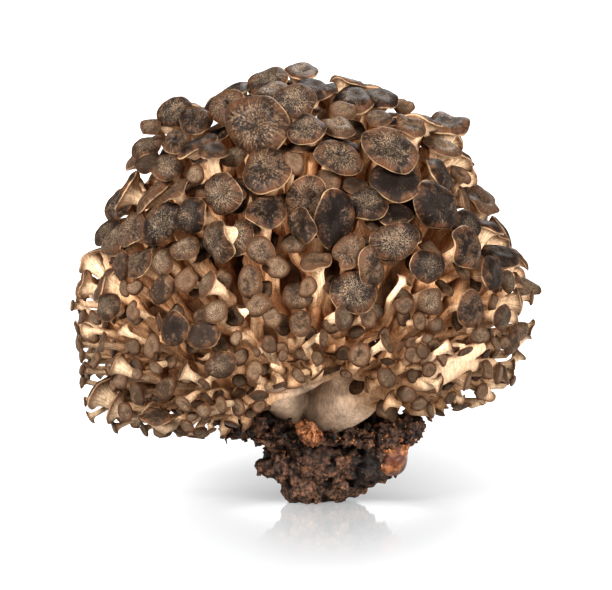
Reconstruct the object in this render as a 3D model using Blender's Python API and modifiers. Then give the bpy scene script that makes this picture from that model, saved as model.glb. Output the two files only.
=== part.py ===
"""Cluster of umbrella polypore, sold as chorei-maitake, standing on its clod.

The mushroom grew as one piece: a trunk that forks into limbs, and limbs that end in
stemmed caps all over a dome. Its foot sits in a clod of soil and bark, with rotten wood
stuck to it. Metres, +Z up; the origin is on the clod's flat underside, under the dome.
"""

import math
import random

import bmesh
import bpy
from mathutils import Matrix, Vector, noise

GAP = 0.0003  # clearance between neighbouring pieces

# The dome of caps, as (height, radius) from the rim's underside to the crown
DOME_OUTLINE = (
    (0.046, 0.090),
    (0.052, 0.120),
    (0.070, 0.149),
    (0.105, 0.165),
    (0.145, 0.166),
    (0.185, 0.150),
    (0.225, 0.127),
    (0.258, 0.106),
    (0.284, 0.077),
    (0.300, 0.042),
    (0.306, 0.000),
)
DOME_DEPTH = 0.90  # front to back, as a share of its width
DOME_LOBES = 0.025  # how far the outline swells and sinks around the dome
RIM_LEAN = 0.006  # the rim hangs this much lower at -X and higher at +X
FRONT_NOTCH = 0.038  # the rim rises this much in front of the trunk
FRONT_AZIMUTH = math.radians(-82)
NOTCH_WIDTH = math.radians(26)

# The flesh under the caps, which the limbs fill
FLESH_VOXEL = 0.006
FLESH_TRIANGLES_KEPT = 0.10
LIMB_RINGS = (  # limbs in the ring, height of their ends, reach as a share of the dome
    (11, 0.098, 0.66),
    (9, 0.140, 0.62),
    (7, 0.186, 0.56),
    (5, 0.224, 0.42),
    (1, 0.246, 0.02),
)
LIMB_RISE = 0.75  # the share of the rim's rise that the lowest ring follows
FORK = Vector((0.006, 0.0, 0.066))  # where the limbs leave the trunk
FORK_SPREAD = 0.16  # how far each limb's foot moves towards its end, across
FORK_CLIMB = 0.12  # and upwards
LIMB_BEND = 0.004  # how far a limb's middle is above the straight line
LIMB_FOOT_RADIUS = 0.012
LIMB_END_RADIUS = 0.036
TRUNK_RADIUS = 0.027
TRUNK_LOBES = (  # paths of the trunk's two lobes
    ((-0.004, 0.000, 0.046), (-0.008, 0.000, 0.072), (-0.014, 0.002, 0.110)),
    ((0.018, -0.002, 0.046), (0.032, -0.004, 0.074), (0.060, -0.006, 0.104)),
)
TRUNK_BASE = 0.0520  # the trunk's underside, over the clod's top

# The peg of trunk that the clod grips
PEG_RADIUS = 0.026
PEG_BOTTOM = 0.030
PEG_TOP = 0.062
PEG_SIDES = 24
PEG_X = 0.007

# The caps
CROWN_CAP_RADIUS = 0.0215
RIM_CAP_RADIUS = 0.0140
CAP_SPACING = 2.90  # between neighbours in a row, in cap radii
ROW_SPACING = 2.45  # between rows, in cap radii
STEM_LENGTH = 0.046  # from the cap's top to where the stem leaves the flesh's inside
STEM_AIM = Vector((0.0, 0.0, 0.125))  # the stems run in towards here
CAP_SIDES = 8
CAP_LIFT = 0.35  # how far caps turn from facing outwards to facing up
CAP_SINK = 0.004  # the middle of a cap's top is this far inside the dome's outline
CAP_SEED = 7
CAP_PROFILE = (  # radius and height from the middle of the cap's top to its stem, in cap radii
    (0.00, 0.00),
    (0.55, 0.10),
    (1.00, -0.04),
    (0.36, -0.62),
)
STEM_RADIUS = 0.22  # at its lower end, in cap radii

# The clod and the rotten wood, as rounded lumps: centre and half sizes
CLOD_TOP = 0.0515
CLOD_VOXEL = 0.005
CLOD_TRIANGLES_KEPT = 0.42
CLOD_LUMPS = (
    ((0.018, 0.002, 0.024), (0.050, 0.048, 0.034)),
    ((-0.012, -0.004, 0.022), (0.020, 0.034, 0.016)),
    ((0.012, 0.004, 0.050), (0.068, 0.058, 0.009)),
    ((0.050, 0.004, 0.050), (0.036, 0.040, 0.010)),
    ((0.012, 0.000, 0.004), (0.036, 0.038, 0.016)),
)
CLOD_ROUGHNESS = 0.0045
WOOD_RIGHT_LUMP = ((0.065, -0.020, 0.035), (0.019, 0.026, 0.020))
WOOD_FRONT_LUMP = ((0.006, -0.046, 0.0545), (0.009, 0.007, 0.010))
WOOD_ROUGHNESS = 0.0030
BUMPS_PER_METRE = 90

FLESH_COLOUR = (0.47, 0.38, 0.29)
CLOD_COLOUR = (0.07, 0.045, 0.03)
WOOD_COLOUR = (0.42, 0.21, 0.09)
MATT = 0.8


def clear_scene():
    for thing in list(bpy.data.objects):
        bpy.data.objects.remove(thing, do_unlink=True)


def new_collection(name):
    collection = bpy.data.collections.new(name)
    bpy.context.scene.collection.children.link(collection)
    return collection


def new_material(name, colour):
    material = bpy.data.materials.new(name)
    material.use_nodes = True
    shader = material.node_tree.nodes["Principled BSDF"]
    shader.inputs["Base Color"].default_value = (*colour, 1.0)
    shader.inputs["Roughness"].default_value = MATT
    shader.inputs["Metallic"].default_value = 0.0
    return material


def object_from(name, bm, collection):
    """A mesh object holding what the bmesh holds."""
    mesh = bpy.data.meshes.new(name)
    bm.to_mesh(mesh)
    bm.free()
    thing = bpy.data.objects.new(name, mesh)
    collection.objects.link(thing)
    return thing


def as_guide(thing):
    """Marks a helper shape, which is no part of the object."""
    thing.hide_render = True
    thing.display_type = "WIRE"
    return thing


def evaluated_mesh(thing):
    """The object's shape with its modifiers, as a mesh of its own."""
    bpy.context.view_layer.update()
    graph = bpy.context.evaluated_depsgraph_get()
    return bpy.data.meshes.new_from_object(thing.evaluated_get(graph))


def finish_piece(thing, material):
    thing.data.materials.clear()
    thing.data.materials.append(material)
    thing.data.shade_smooth()
    thing.data.set_sharp_from_angle(angle=math.radians(40))


def outline_at(share):
    """(height, radius) on the dome's outline, share 0 at the rim and 1 at the crown."""
    lengths = [0.0]
    for (z0, r0), (z1, r1) in zip(DOME_OUTLINE, DOME_OUTLINE[1:]):
        lengths.append(lengths[-1] + math.hypot(z1 - z0, r1 - r0))
    along = share * lengths[-1]
    for i, end in enumerate(lengths[1:]):
        if along <= end or i == len(lengths) - 2:
            part = (along - lengths[i]) / (end - lengths[i])
            (z0, r0), (z1, r1) = DOME_OUTLINE[i], DOME_OUTLINE[i + 1]
            return z0 + part * (z1 - z0), r0 + part * (r1 - r0), lengths[-1]


def rim_rise(azimuth):
    """How much higher than the outline the dome's lower part is at that azimuth."""
    from_front = math.remainder(azimuth - FRONT_AZIMUTH, 2 * math.pi) / NOTCH_WIDTH
    return RIM_LEAN * math.cos(azimuth) + FRONT_NOTCH * math.exp(-(from_front**2))


def dome_point(share, azimuth):
    """A point on the dome; azimuth 0 is at +X, and -Y is the front."""
    height, radius, _ = outline_at(share)
    swell = math.sin(3 * azimuth + 0.6) + 0.6 * math.sin(5 * azimuth - 1.1)
    radius *= 1 + DOME_LOBES * swell * math.sin(math.pi * share)
    height += (1 - share) ** 2 * rim_rise(azimuth)
    return Vector(
        (
            radius * math.cos(azimuth),
            DOME_DEPTH * radius * math.sin(azimuth),
            height,
        )
    )


def dome_normal(share, azimuth):
    """The direction out of the dome at that point."""
    step = 0.01
    low, high = max(share - step, 0.0), min(share + step, 0.999)
    up = dome_point(high, azimuth) - dome_point(low, azimuth)
    around = dome_point(share, azimuth + step) - dome_point(share, azimuth - step)
    if around.length < 1e-7:
        return Vector((0, 0, 1))
    return around.cross(up).normalized()


def cap_places(rng):
    """(top, direction, radius) of each cap, in rows from the rim to the crown."""
    _, _, length = outline_at(0)
    places = []
    share = 0.03
    row = 0
    while share < 0.97:
        radius = RIM_CAP_RADIUS + (CROWN_CAP_RADIUS - RIM_CAP_RADIUS) * share**0.8
        _, around, _ = outline_at(share)
        count = max(1, int(2 * math.pi * around * 0.95 / (CAP_SPACING * radius)))
        for i in range(count):
            azimuth = 2 * math.pi * (i + 0.5 * (row % 2) + rng.uniform(-0.08, 0.08)) / count
            size = radius * rng.uniform(0.90, 1.08)
            facing = dome_normal(share, azimuth)
            facing = (facing + Vector((0, 0, CAP_LIFT))).normalized()
            facing += Vector([rng.uniform(-0.12, 0.12) for _ in range(3)])
            top = dome_point(share, azimuth) - CAP_SINK * facing
            places.append((top, facing.normalized(), size))
        share += ROW_SPACING * radius / length
        row += 1
    crown = dome_point(0.985, 0.0)
    places.append((Vector((0, 0, crown.z)), Vector((0, 0, 1)), CROWN_CAP_RADIUS))
    return places


def cap_shape(helpers):
    """One cap of radius 1 with its flared underside, open where the stem joins on."""
    bm = bmesh.new()
    previous = None
    for radius, height in CAP_PROFILE:
        vert = bm.verts.new((radius, 0, height))
        if previous:
            bm.edges.new((previous, vert))
        previous = vert
    turned = as_guide(object_from("cap_profile", bm, helpers))
    screw = turned.modifiers.new("turn", "SCREW")
    screw.steps = screw.render_steps = CAP_SIDES
    screw.use_merge_vertices = True
    screw.merge_threshold = 0.0001
    mesh = evaluated_mesh(turned)
    bpy.data.objects.remove(turned)
    return mesh


def grow_caps(helpers, rng):
    """All the caps with their stems, as one helper shape of closed bodies."""
    pattern = cap_shape(helpers)
    bm = bmesh.new()
    for top, facing, radius in cap_places(rng):
        turn = facing.to_track_quat("Z", "Y").to_matrix().to_4x4()
        place = Matrix.Translation(top) @ turn @ Matrix.Diagonal((radius, radius, radius, 1))
        before = len(bm.verts)
        bm.from_mesh(pattern)
        bm.verts.ensure_lookup_table()
        verts = bm.verts[before:]
        bmesh.ops.transform(bm, matrix=place, verts=verts)
        collar = [e for v in verts for e in v.link_edges if e.is_boundary]
        made = bmesh.ops.extrude_edge_only(bm, edges=list(dict.fromkeys(collar)))["geom"]
        foot = [g for g in made if isinstance(g, bmesh.types.BMVert)]
        middle = top + (STEM_AIM - top).normalized() * STEM_LENGTH
        for vert in foot:
            spoke = vert.co - place @ Vector((0, 0, CAP_PROFILE[-1][1]))
            vert.co = middle + spoke * (STEM_RADIUS / CAP_PROFILE[-1][0])
        edge = [g for g in made if isinstance(g, bmesh.types.BMEdge)]
        bmesh.ops.contextual_create(bm, geom=[e for e in edge if e.is_boundary])
    bmesh.ops.recalc_face_normals(bm, faces=bm.faces[:])
    bpy.data.meshes.remove(pattern)
    return as_guide(object_from("caps", bm, helpers))


def add_tube(bm, path, radii, helpers):
    """A tapered tube along a smooth path, added to the bmesh."""
    curve = bpy.data.curves.new("tube", "CURVE")
    curve.dimensions = "3D"
    curve.bevel_depth = 1.0
    curve.bevel_resolution = 3
    curve.resolution_u = 6
    curve.use_fill_caps = True
    spline = curve.splines.new("NURBS")
    spline.points.add(len(path) - 1)
    for point, place, radius in zip(spline.points, path, radii):
        point.co = (*place, 1.0)
        point.radius = radius
    spline.order_u = 3
    spline.use_endpoint_u = True
    tube = bpy.data.objects.new("tube", curve)
    helpers.objects.link(tube)
    bm.from_mesh(evaluated_mesh(tube))
    bpy.data.objects.remove(tube)


def limb_path(azimuth, height, reach):
    """From the trunk's top out to the flesh under the dome, bending upwards on the way."""
    lowest, highest = LIMB_RINGS[0][1], LIMB_RINGS[-1][1]
    height += LIMB_RISE * rim_rise(azimuth) * (highest - height) / (highest - lowest)
    share = 0.0
    while dome_point(share, azimuth).z < height:
        share += 0.01
    skin = dome_point(share, azimuth)
    end = Vector((skin.x * reach, skin.y * reach, height))
    spread = end - FORK
    foot = FORK + Vector((FORK_SPREAD * spread.x, FORK_SPREAD * spread.y, FORK_CLIMB * spread.z))
    return [foot, foot.lerp(end, 0.5) + Vector((0, 0, LIMB_BEND)), end]


def outer_shell(mesh):
    """Drops the closed pockets inside the flesh, keeping the one outer surface."""
    bm = bmesh.new()
    bm.from_mesh(mesh)
    unseen = set(bm.verts)
    shells = []
    while unseen:
        front = [unseen.pop()]
        shell = set(front)
        while front:
            for edge in front.pop().link_edges:
                for vert in edge.verts:
                    if vert in unseen:
                        unseen.discard(vert)
                        shell.add(vert)
                        front.append(vert)
        shells.append(shell)
    outer = max(shells, key=len)
    spare = [vert for shell in shells if shell is not outer for vert in shell]
    bmesh.ops.delete(bm, geom=spare, context="VERTS")
    return bm


def add_modifier_remesh(thing, voxel, kept):
    """One skin over all the shapes in the object, smoothed, with fewer triangles."""
    remesh = thing.modifiers.new("one_skin", "REMESH")
    remesh.mode = "VOXEL"
    remesh.voxel_size = voxel
    smooth = thing.modifiers.new("soften", "SMOOTH")
    smooth.factor = 0.5
    smooth.iterations = 3
    triangulate = thing.modifiers.new("triangles", "TRIANGULATE")
    triangulate.min_vertices = 4
    fewer = thing.modifiers.new("fewer", "DECIMATE")
    fewer.ratio = kept


def flat_cut(bm, height, keep_above):
    """Cuts the closed shape at a height and closes it with a flat face."""
    side = Vector((0, 0, -1 if keep_above else 1))
    geom = bm.verts[:] + bm.edges[:] + bm.faces[:]
    cut = bmesh.ops.bisect_plane(
        bm, geom=geom, plane_co=(0, 0, height), plane_no=side, clear_outer=True
    )
    edges = [g for g in cut["geom_cut"] if isinstance(g, bmesh.types.BMEdge)]
    bmesh.ops.holes_fill(bm, edges=edges)


def grow_flesh(helpers):
    """The trunk and its limbs as one skin, cut flat where the clod begins."""
    bm = bmesh.new()
    for path in TRUNK_LOBES:
        add_tube(bm, path, (TRUNK_RADIUS * 0.95, TRUNK_RADIUS * 0.9, TRUNK_RADIUS), helpers)
    for ring, (count, height, reach) in enumerate(LIMB_RINGS):
        for i in range(count):
            azimuth = 2 * math.pi * (i + 0.5 * (ring % 2)) / count
            path = limb_path(azimuth, height, reach)
            radii = (LIMB_FOOT_RADIUS, 0.5 * (LIMB_FOOT_RADIUS + LIMB_END_RADIUS), LIMB_END_RADIUS)
            add_tube(bm, path, radii, helpers)
            end = path[-1]
            bmesh.ops.create_icosphere(
                bm, subdivisions=3, radius=LIMB_END_RADIUS, matrix=Matrix.Translation(end)
            )
    skin = as_guide(object_from("limbs", bm, helpers))
    add_modifier_remesh(skin, FLESH_VOXEL, FLESH_TRIANGLES_KEPT)
    mesh = evaluated_mesh(skin)
    bpy.data.objects.remove(skin)
    bm = outer_shell(mesh)
    flat_cut(bm, TRUNK_BASE, keep_above=True)
    bmesh.ops.recalc_face_normals(bm, faces=bm.faces[:])
    return bm


def cylinder(name, radius, bottom, top, helpers):
    bm = bmesh.new()
    bmesh.ops.create_cone(
        bm,
        cap_ends=True,
        segments=PEG_SIDES,
        radius1=radius,
        radius2=radius,
        depth=top - bottom,
        matrix=Matrix.Translation((PEG_X, 0, (top + bottom) / 2)),
    )
    return as_guide(object_from(name, bm, helpers))


def add_boolean(thing, other, operation):
    cut = thing.modifiers.new(other.name, "BOOLEAN")
    cut.operation = operation
    cut.solver = "MANIFOLD"
    cut.object = other


def roughen(bm, depth, seed):
    """Pushes the surface in and out by smooth noise."""
    shift = Vector((seed, 2 * seed, 3 * seed))
    bm.normal_update()
    for vert in bm.verts:
        vert.co += vert.normal * depth * noise.noise(vert.co * BUMPS_PER_METRE + shift)


def rough_lump(bm, centre, half_sizes, subdivisions, depth, seed, grow=0.0):
    """A roughened ball, stretched to its half sizes; grow makes it larger all round."""
    ball = bmesh.new()
    bmesh.ops.create_icosphere(ball, subdivisions=subdivisions, radius=1.0)
    stretch = Matrix.Diagonal((*half_sizes, 1.0))
    bmesh.ops.transform(ball, matrix=Matrix.Translation(centre) @ stretch, verts=ball.verts)
    roughen(ball, depth, seed)
    ball.normal_update()
    for vert in ball.verts:
        vert.co += vert.normal * grow
    lump = bpy.data.meshes.new("lump")
    ball.to_mesh(lump)
    ball.free()
    bm.from_mesh(lump)
    bpy.data.meshes.remove(lump)


def build_fruiting_body(parts, helpers, material):
    rng = random.Random(CAP_SEED)
    body = object_from("fruiting_body", grow_flesh(helpers), parts)
    add_boolean(body, cylinder("peg", PEG_RADIUS, PEG_BOTTOM, PEG_TOP, helpers), "UNION")
    add_boolean(body, grow_caps(helpers, rng), "UNION")
    finish_piece(body, material)


def build_root_clod(parts, helpers, material):
    bm = bmesh.new()
    for seed, (centre, half_sizes) in enumerate(CLOD_LUMPS):
        rough_lump(bm, centre, half_sizes, 4, CLOD_ROUGHNESS, seed)
    lump = as_guide(object_from("clod_lumps", bm, helpers))
    add_modifier_remesh(lump, CLOD_VOXEL, CLOD_TRIANGLES_KEPT)
    mesh = evaluated_mesh(lump)
    bpy.data.objects.remove(lump)
    bm = outer_shell(mesh)
    flat_cut(bm, 0.0, keep_above=True)
    flat_cut(bm, CLOD_TOP, keep_above=False)
    bmesh.ops.recalc_face_normals(bm, faces=bm.faces[:])
    clod = object_from("root_clod", bm, parts)
    socket = cylinder("socket", PEG_RADIUS + GAP * 1.1, PEG_BOTTOM - GAP, PEG_TOP, helpers)
    add_boolean(clod, socket, "DIFFERENCE")
    bm = bmesh.new()
    rough_lump(bm, *WOOD_RIGHT_LUMP, 3, WOOD_ROUGHNESS, 9, grow=GAP * 1.3)
    add_boolean(clod, as_guide(object_from("wood_seat", bm, helpers)), "DIFFERENCE")
    finish_piece(clod, material)


def build_rotten_wood(parts, material):
    bm = bmesh.new()
    rough_lump(bm, *WOOD_RIGHT_LUMP, 3, WOOD_ROUGHNESS, 9)
    finish_piece(object_from("rotten_wood_right", bm, parts), material)
    bm = bmesh.new()
    rough_lump(bm, *WOOD_FRONT_LUMP, 2, WOOD_ROUGHNESS, 12)
    flat_cut(bm, CLOD_TOP + GAP, keep_above=True)
    finish_piece(object_from("rotten_wood_front", bm, parts), material)


def main():
    clear_scene()
    parts = new_collection("umbrella_polypore_cluster")
    helpers = new_collection("cutters")
    build_fruiting_body(parts, helpers, new_material("mushroom_flesh", FLESH_COLOUR))
    build_root_clod(parts, helpers, new_material("soil_crust", CLOD_COLOUR))
    build_rotten_wood(parts, new_material("rotten_wood", WOOD_COLOUR))


main()
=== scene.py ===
"""Looks of an umbrella polypore cluster: stalked caps on a forking body of flesh, on its clod.

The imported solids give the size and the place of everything. The cluster's own pieces are
grown here: the caps with their stalks, the branches and the trunk that carry them, the
clod of soil and bark at the foot, and the rotten wood stuck to it.
"""

import functools
import math

import bpy
import numpy as np
import openvdb
from bpy.props import FloatProperty, FloatVectorProperty, IntProperty, PointerProperty
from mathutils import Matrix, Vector


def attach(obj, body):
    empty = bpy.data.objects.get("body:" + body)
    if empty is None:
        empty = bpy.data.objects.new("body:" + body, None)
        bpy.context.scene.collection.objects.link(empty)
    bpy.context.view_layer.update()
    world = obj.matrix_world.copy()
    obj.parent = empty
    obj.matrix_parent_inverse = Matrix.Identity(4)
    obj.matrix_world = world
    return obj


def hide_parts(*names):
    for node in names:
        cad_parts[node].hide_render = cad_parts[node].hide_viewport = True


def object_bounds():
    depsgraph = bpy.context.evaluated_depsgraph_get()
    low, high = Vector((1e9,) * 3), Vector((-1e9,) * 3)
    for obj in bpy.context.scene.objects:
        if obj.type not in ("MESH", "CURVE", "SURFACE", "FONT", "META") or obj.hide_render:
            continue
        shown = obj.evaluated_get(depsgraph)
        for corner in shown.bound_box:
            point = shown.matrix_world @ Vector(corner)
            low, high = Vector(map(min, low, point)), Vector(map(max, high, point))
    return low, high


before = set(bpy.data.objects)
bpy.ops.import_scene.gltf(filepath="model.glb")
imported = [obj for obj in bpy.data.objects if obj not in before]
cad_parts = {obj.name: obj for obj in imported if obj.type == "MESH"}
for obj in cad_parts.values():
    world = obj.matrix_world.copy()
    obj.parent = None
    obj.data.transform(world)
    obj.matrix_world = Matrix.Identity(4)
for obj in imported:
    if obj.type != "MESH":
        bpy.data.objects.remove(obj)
SOLID_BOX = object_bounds()

bl_info = {
    "name": "Umbrella Polypore Cluster",
    "version": (1, 0, 0),
    "blender": (4, 5, 0),
    "location": "3D View > Sidebar > Polypore",
    "description": "Grows a cluster of stalked caps on its clod, with its materials and stage",
    "category": "Object",
}

MM = 0.001
BODY = "root"

# The dome of caps, as (height, radius) from the rim to the crown, in millimetres
OUTLINE = MM * np.array(
    [
        (58, 84),
        (61, 114),
        (76, 143),
        (108, 157),
        (145, 158),
        (185, 141),
        (225, 122),
        (259, 105),
        (280, 68),
        (294, 40),
        (301, 0),
    ]
)
_STEPS = np.hypot(*np.diff(OUTLINE, axis=0).T)
ALONG = np.concatenate([[0.0], np.cumsum(_STEPS)]) / _STEPS.sum()
DEPTH = 0.90
LOBES = 0.03
RIM_LEAN = 8 * MM
NOTCH_RISE = 46 * MM
NOTCH_AZIMUTH = math.radians(-82)
NOTCH_WIDTH = math.radians(26)
FORK = np.array((8, 0, 82)) * MM

# Where the eye is: the cluster is seen from the front and a little above
AIM = Vector((0.0, 0.0, 0.1455))
EYE_DISTANCE = 2.6
EYE_RISE = math.radians(6.0)
VIEW_WIDTH = 0.4284  # how much is seen across at the aim, in metres
VIEW_SHIFT = 1 / 102  # how far the view moves sideways, as a share of its width
SENSOR = 36

# The caps that show best on the front: across, up and radius in millimetres, then how many
# degrees the cap turns to the right and leans back to face upwards
FRONT_CAPS = (
    (0, 306, 15, 0, 74), (-24, 296, 14, -10, 62), (10, 291, 13, 10, 52), (38, 286, 16, 12, 60),
    (56, 284, 13, 20, 66), (-51, 278, 14, -40, 22), (-31, 264, 23, -12, 38), (-4, 281, 14, 0, 25),
    (-88, 276, 13, -20, 52), (-73, 268, 13, -16, 50), (4, 262, 13, 5, 50), (-88, 257, 13, -15, 58),
    (-104, 264, 9, -40, 40), (31, 276, 9, 8, 44), (55, 271, 9, 10, 46), (73, 279, 8, 20, 40),
    (79, 263, 11, 22, 34), (-106, 250, 11, -24, 45), (-106, 240, 10, -20, 34), (-60, 248, 11, -10, 55),
    (-92, 237, 11, -20, 36), (-25, 235, 18, -6, 44), (-4, 239, 8, 0, 30), (-75, 230, 7, -12, 30),
    (29, 244, 15, 30, 20), (63, 248, 18, 12, 34), (101, 251, 12, 26, 46), (70, 229, 18, 14, 38),
    (50, 214, 15, 8, 54), (113, 230, 8, 30, 34), (-54, 216, 15, -32, 8), (-23, 205, 14, -8, 42),
    (6, 215, 15, 4, 10), (-1, 192, 12, -28, 10), (25, 199, 18, 22, 6), (69, 205, 13, 18, 55),
    (67, 184, 15, 16, 6), (97, 206, 17, 30, 8), (119, 195, 13, 50, 8), (-76, 202, 13, -26, 10),
    (-99, 196, 15, -32, 10), (-47, 189, 13, -14, 32), (-58, 182, 15, -36, 4), (-29, 177, 10, -28, 8),
    (-79, 180, 10, -30, 38), (92, 166, 13, 26, 16), (117, 176, 15, 54, 6), (51, 162, 12, 38, 8),
    (35, 178, 12, 10, 28), (156, 173, 9, 82, 38), (-126, 165, 9, -42, 10), (-98, 149, 10, -32, 4),
    (-81, 157, 9, -24, 6), (-36, 155, 10, -12, 6), (-16, 165, 8, -6, 10), (-67, 154, 10, -78, 22),
    (39, 148, 16, 10, 32), (-136, 138, 11, -50, 20), (-118, 134, 7, -46, 0), (-90, 122, 12, -34, 4),
    (-68, 118, 11, -18, 18), (-105, 109, 8, -34, 0), (-118, 109, 6, -40, -6), (-60, 134, 9, -20, 22),
    (-32, 138, 9, -30, 0), (-20, 130, 7, -8, 6), (0, 127, 9, 0, 38), (32, 130, 9, 30, 0),
    (47, 130, 8, 16, 22), (74, 138, 7, 36, 0), (92, 141, 10, 24, 4), (122, 136, 12, 50, 0),
    (144, 130, 10, 58, 6), (127, 117, 7, 40, 0), (144, 112, 5, 50, -4), (148, 155, 8, 54, 10),
    (164, 143, 5, 88, -5), (161, 122, 6, 95, -25), (84, 127, 6, 28, 0), (96, 124, 6, 40, 0),
    (89, 115, 4, 20, 0), (86, 106, 5, 20, 0), (42, 103, 8, 8, 6), (80, 103, 6, 18, 26),
    (91, 93, 6, 28, 0), (61, 87, 7, 24, -4), (84, 70, 6, 34, -10), (101, 101, 6, 45, 0),
    (150, 85, 5, 70, -10), (-55, 97, 10, -22, 0), (-31, 93, 7, -6, 24), (-95, 80, 8, -40, -6),
    (-114, 75, 7, -46, -6), (-82, 69, 6, -24, -8), (-125, 87, 7, -44, -6), (-144, 100, 6, -60, -4),
    (-102, 94, 5, -30, 0), (-69, 65, 6, -46, -6), (-56, 68, 6, -50, -8), (-44, 66, 6, -34, 0),
    (-29, 68, 5, -4, 24), (-76, 60, 4, -20, -10), (-66, 58, 4, -10, -30), (-79, 54, 5, -14, -18),
    (-161, 138, 5, -80, 10), (-156, 110, 5, -80, 0), (-153, 131, 6, -60, 30), (-150, 118, 8, -112, -18),
    (-154, 103, 5, -70, 0), (-154, 93, 5, -75, -8), (-141, 80, 15, -118, 42), (-132, 66, 12, -128, 34),
    (-154, 85, 5, -80, 0), (-151, 71, 4, -85, -10), (-147, 60, 5, -95, -20), (-124, 63, 7, -30, 12),
    (-101, 61, 10, -30, 66), (-110, 51, 5, -50, -18), (-97, 50, 6, -20, -20), (-131, 52, 5, -70, -18),
    (-116, 151, 6, -20, 0), (-124, 150, 5, -34, 0), (4, 150, 7, -10, 0), (-43, 131, 6, -70, -10),
    (-45, 115, 5, -20, -10), (-21, 111, 6, 0, 20), (-12, 103, 4, 30, 10), (-31, 106, 4, -50, 0),
    (13, 102, 5, -10, 20), (-1, 89, 5, -16, -12), (32, 89, 4, 12, -15), (127, 77, 6, 40, -12),
    (150, 97, 5, 85, 12), (106, 73, 5, 45, -20), (-130, 98, 9, -104, 30), (-84, 92, 8, -96, 24),
    (62, 112, 7, 80, 20), (104, 110, 7, 96, 30),
)

# The smooth limbs that show between the caps on the front: points across and up, then radii
FRONT_LIMBS = (
    (((88, 74), (100, 82), (118, 95), (134, 108)), (7, 8, 6.5, 4.5)),
    (((106, 84), (122, 91), (142, 94)), (6, 5, 3.5)),
)

# How wide the other caps grow, and how much room they keep, by height
GROWTH_HEIGHTS = MM * np.array((50, 85, 125, 170, 220, 260, 300))
GROWTH_RADII = MM * np.array((5.4, 7.0, 9.0, 12.2, 15.5, 17.5, 18.0))
GROWTH_ROOM = (1.75, 1.62, 1.42, 1.16, 1.02, 1.0, 1.0)

TIERS = (  # least and most growth, room kept, how deep the caps sit
    (0.85, 1.18, 1.00, 0.0),
    (0.60, 0.85, 1.04, 0.0),
    (0.46, 0.60, 1.22, 0.0),
    (0.55, 0.85, 1.35, 14 * MM),
)
DARTS = 26000

# Where the front of the trunk stays bare: across from, across to, and up to
BARE_TRUNK = MM * np.array((-24, 58, 90))
LIMB_INSET = 5 * MM
LIMB_CLEARANCE = 4 * MM
ODD_CAPS = 0.16  # the share of the low caps that face any way


# ---- the cluster's settings


def a_share(name, description, default, low, high):
    """A setting that is a share of something else."""
    return FloatProperty(
        name=name, description=description, default=default, min=low, max=high, subtype="FACTOR"
    )


def a_colour(name, description, default):
    """A setting that is a colour."""
    return FloatVectorProperty(
        name=name, description=description, default=default, min=0, max=1, subtype="COLOR"
    )


class PolyporeShape(bpy.types.PropertyGroup):
    """Sizes that set how the cluster grows"""

    seed: IntProperty(name="Seed", description="Another number grows another cluster", default=7)
    crowding: a_share("Crowding", "How close the caps stand, as a share of their radii", 0.86, 0.5, 1.4)
    stalk: a_share(
        "Stalk", "A stalk's radius under its cap, as a share of the cap's radius", 0.27, 0.1, 0.5
    )
    grain: FloatProperty(
        name="Grain",
        description="The size of the cells that the branches are shaped from",
        default=1.3 * MM,
        min=0.8 * MM,
        max=4 * MM,
        unit="LENGTH",
    )
    detail: a_share("Detail", "The share of the branches' faces that is kept", 0.2, 0.02, 1.0)


class PolyporeFinish(bpy.types.PropertyGroup):
    """Colours of the caps, the flesh, the soil and the wood"""

    cap_dark: a_colour("Cap, dark", "A cap's darkest patches and its cracks", (0.016, 0.011, 0.009))
    cap_brown: a_colour("Cap, brown", "The ground colour of a cap", (0.046, 0.028, 0.0185))
    cap_tan: a_colour("Cap, tan", "The paler fibres that run outwards", (0.34, 0.235, 0.15))
    cap_pale: a_colour("Cap, pale", "The pale flecks round a cap's middle", (0.66, 0.51, 0.36))
    margin: a_colour("Margin", "The thin pale line along a cap's margin", (0.50, 0.35, 0.21))
    rust: a_colour("Rust", "The warm brown inside and under a cap's margin", (0.135, 0.060, 0.029))
    flesh: a_colour("Flesh", "The stalks and the undersides of the caps", (0.68, 0.495, 0.335))
    # Amber: the flesh's own amber stains, and also warm painted shade a little way into the cluster
    amber_and_painted_shade: a_colour("Flesh, amber", "The flesh a little way in, and in folds", (0.64, 0.395, 0.225))
    # Painted shade, dark, deep between the branches
    flesh_painted_shade: a_colour("Flesh, deep", "The flesh deep between branches", (0.060, 0.027, 0.014))
    trunk: a_colour("Trunk", "The smooth skin of the trunk", (0.78, 0.58, 0.425))
    # Soil also paints the shade in the clod's hollows
    soil: a_colour("Soil", "The crust of the clod", (0.011, 0.006, 0.004))
    bark: a_colour("Bark", "The raised lumps of the clod", (0.070, 0.035, 0.0195))
    wood: a_colour("Rotten wood", "The crumbly wood stuck to the clod", (0.31, 0.135, 0.056))
    red_wood: a_colour("Wood, worn", "The smooth wood, and the holes in it", (0.085, 0.028, 0.012))
    wood_pale: a_colour("Wood, pale", "The palest shreds of rotten wood", (0.62, 0.38, 0.20))


class PolyporeStage(bpy.types.PropertyGroup):
    """The floor and the studio's light"""

    floor: a_colour("Floor", "The floor's colour", (0.12, 0.122, 0.127))
    # The floor's glow in the middle of the painted shadow round the clod
    shadowed_glow: FloatProperty(
        name="Glow", description="How much light the floor gives off", default=0.27, min=0.0
    )
    key_light: FloatProperty(
        name="Key light", description="Strength of the main light", default=5.05, min=0.0
    )
    sky: FloatProperty(
        name="Sky", description="Strength of the light from all round", default=0.05, min=0.0
    )


# ---- noise and the dome


def cell_value(cells, seed):
    """A repeatable number from -1 to 1 for each whole-number cell."""
    x, y, z = (cells[..., axis].astype(np.int64) for axis in range(3))
    mixed = (x * 73856093) ^ (y * 19349663) ^ (z * 83492791) ^ (seed * 40503)
    mixed = (mixed ^ (mixed >> 13)) * 1274126177
    return ((mixed ^ (mixed >> 16)) & 0xFFFF) / 32767.5 - 1.0


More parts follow.
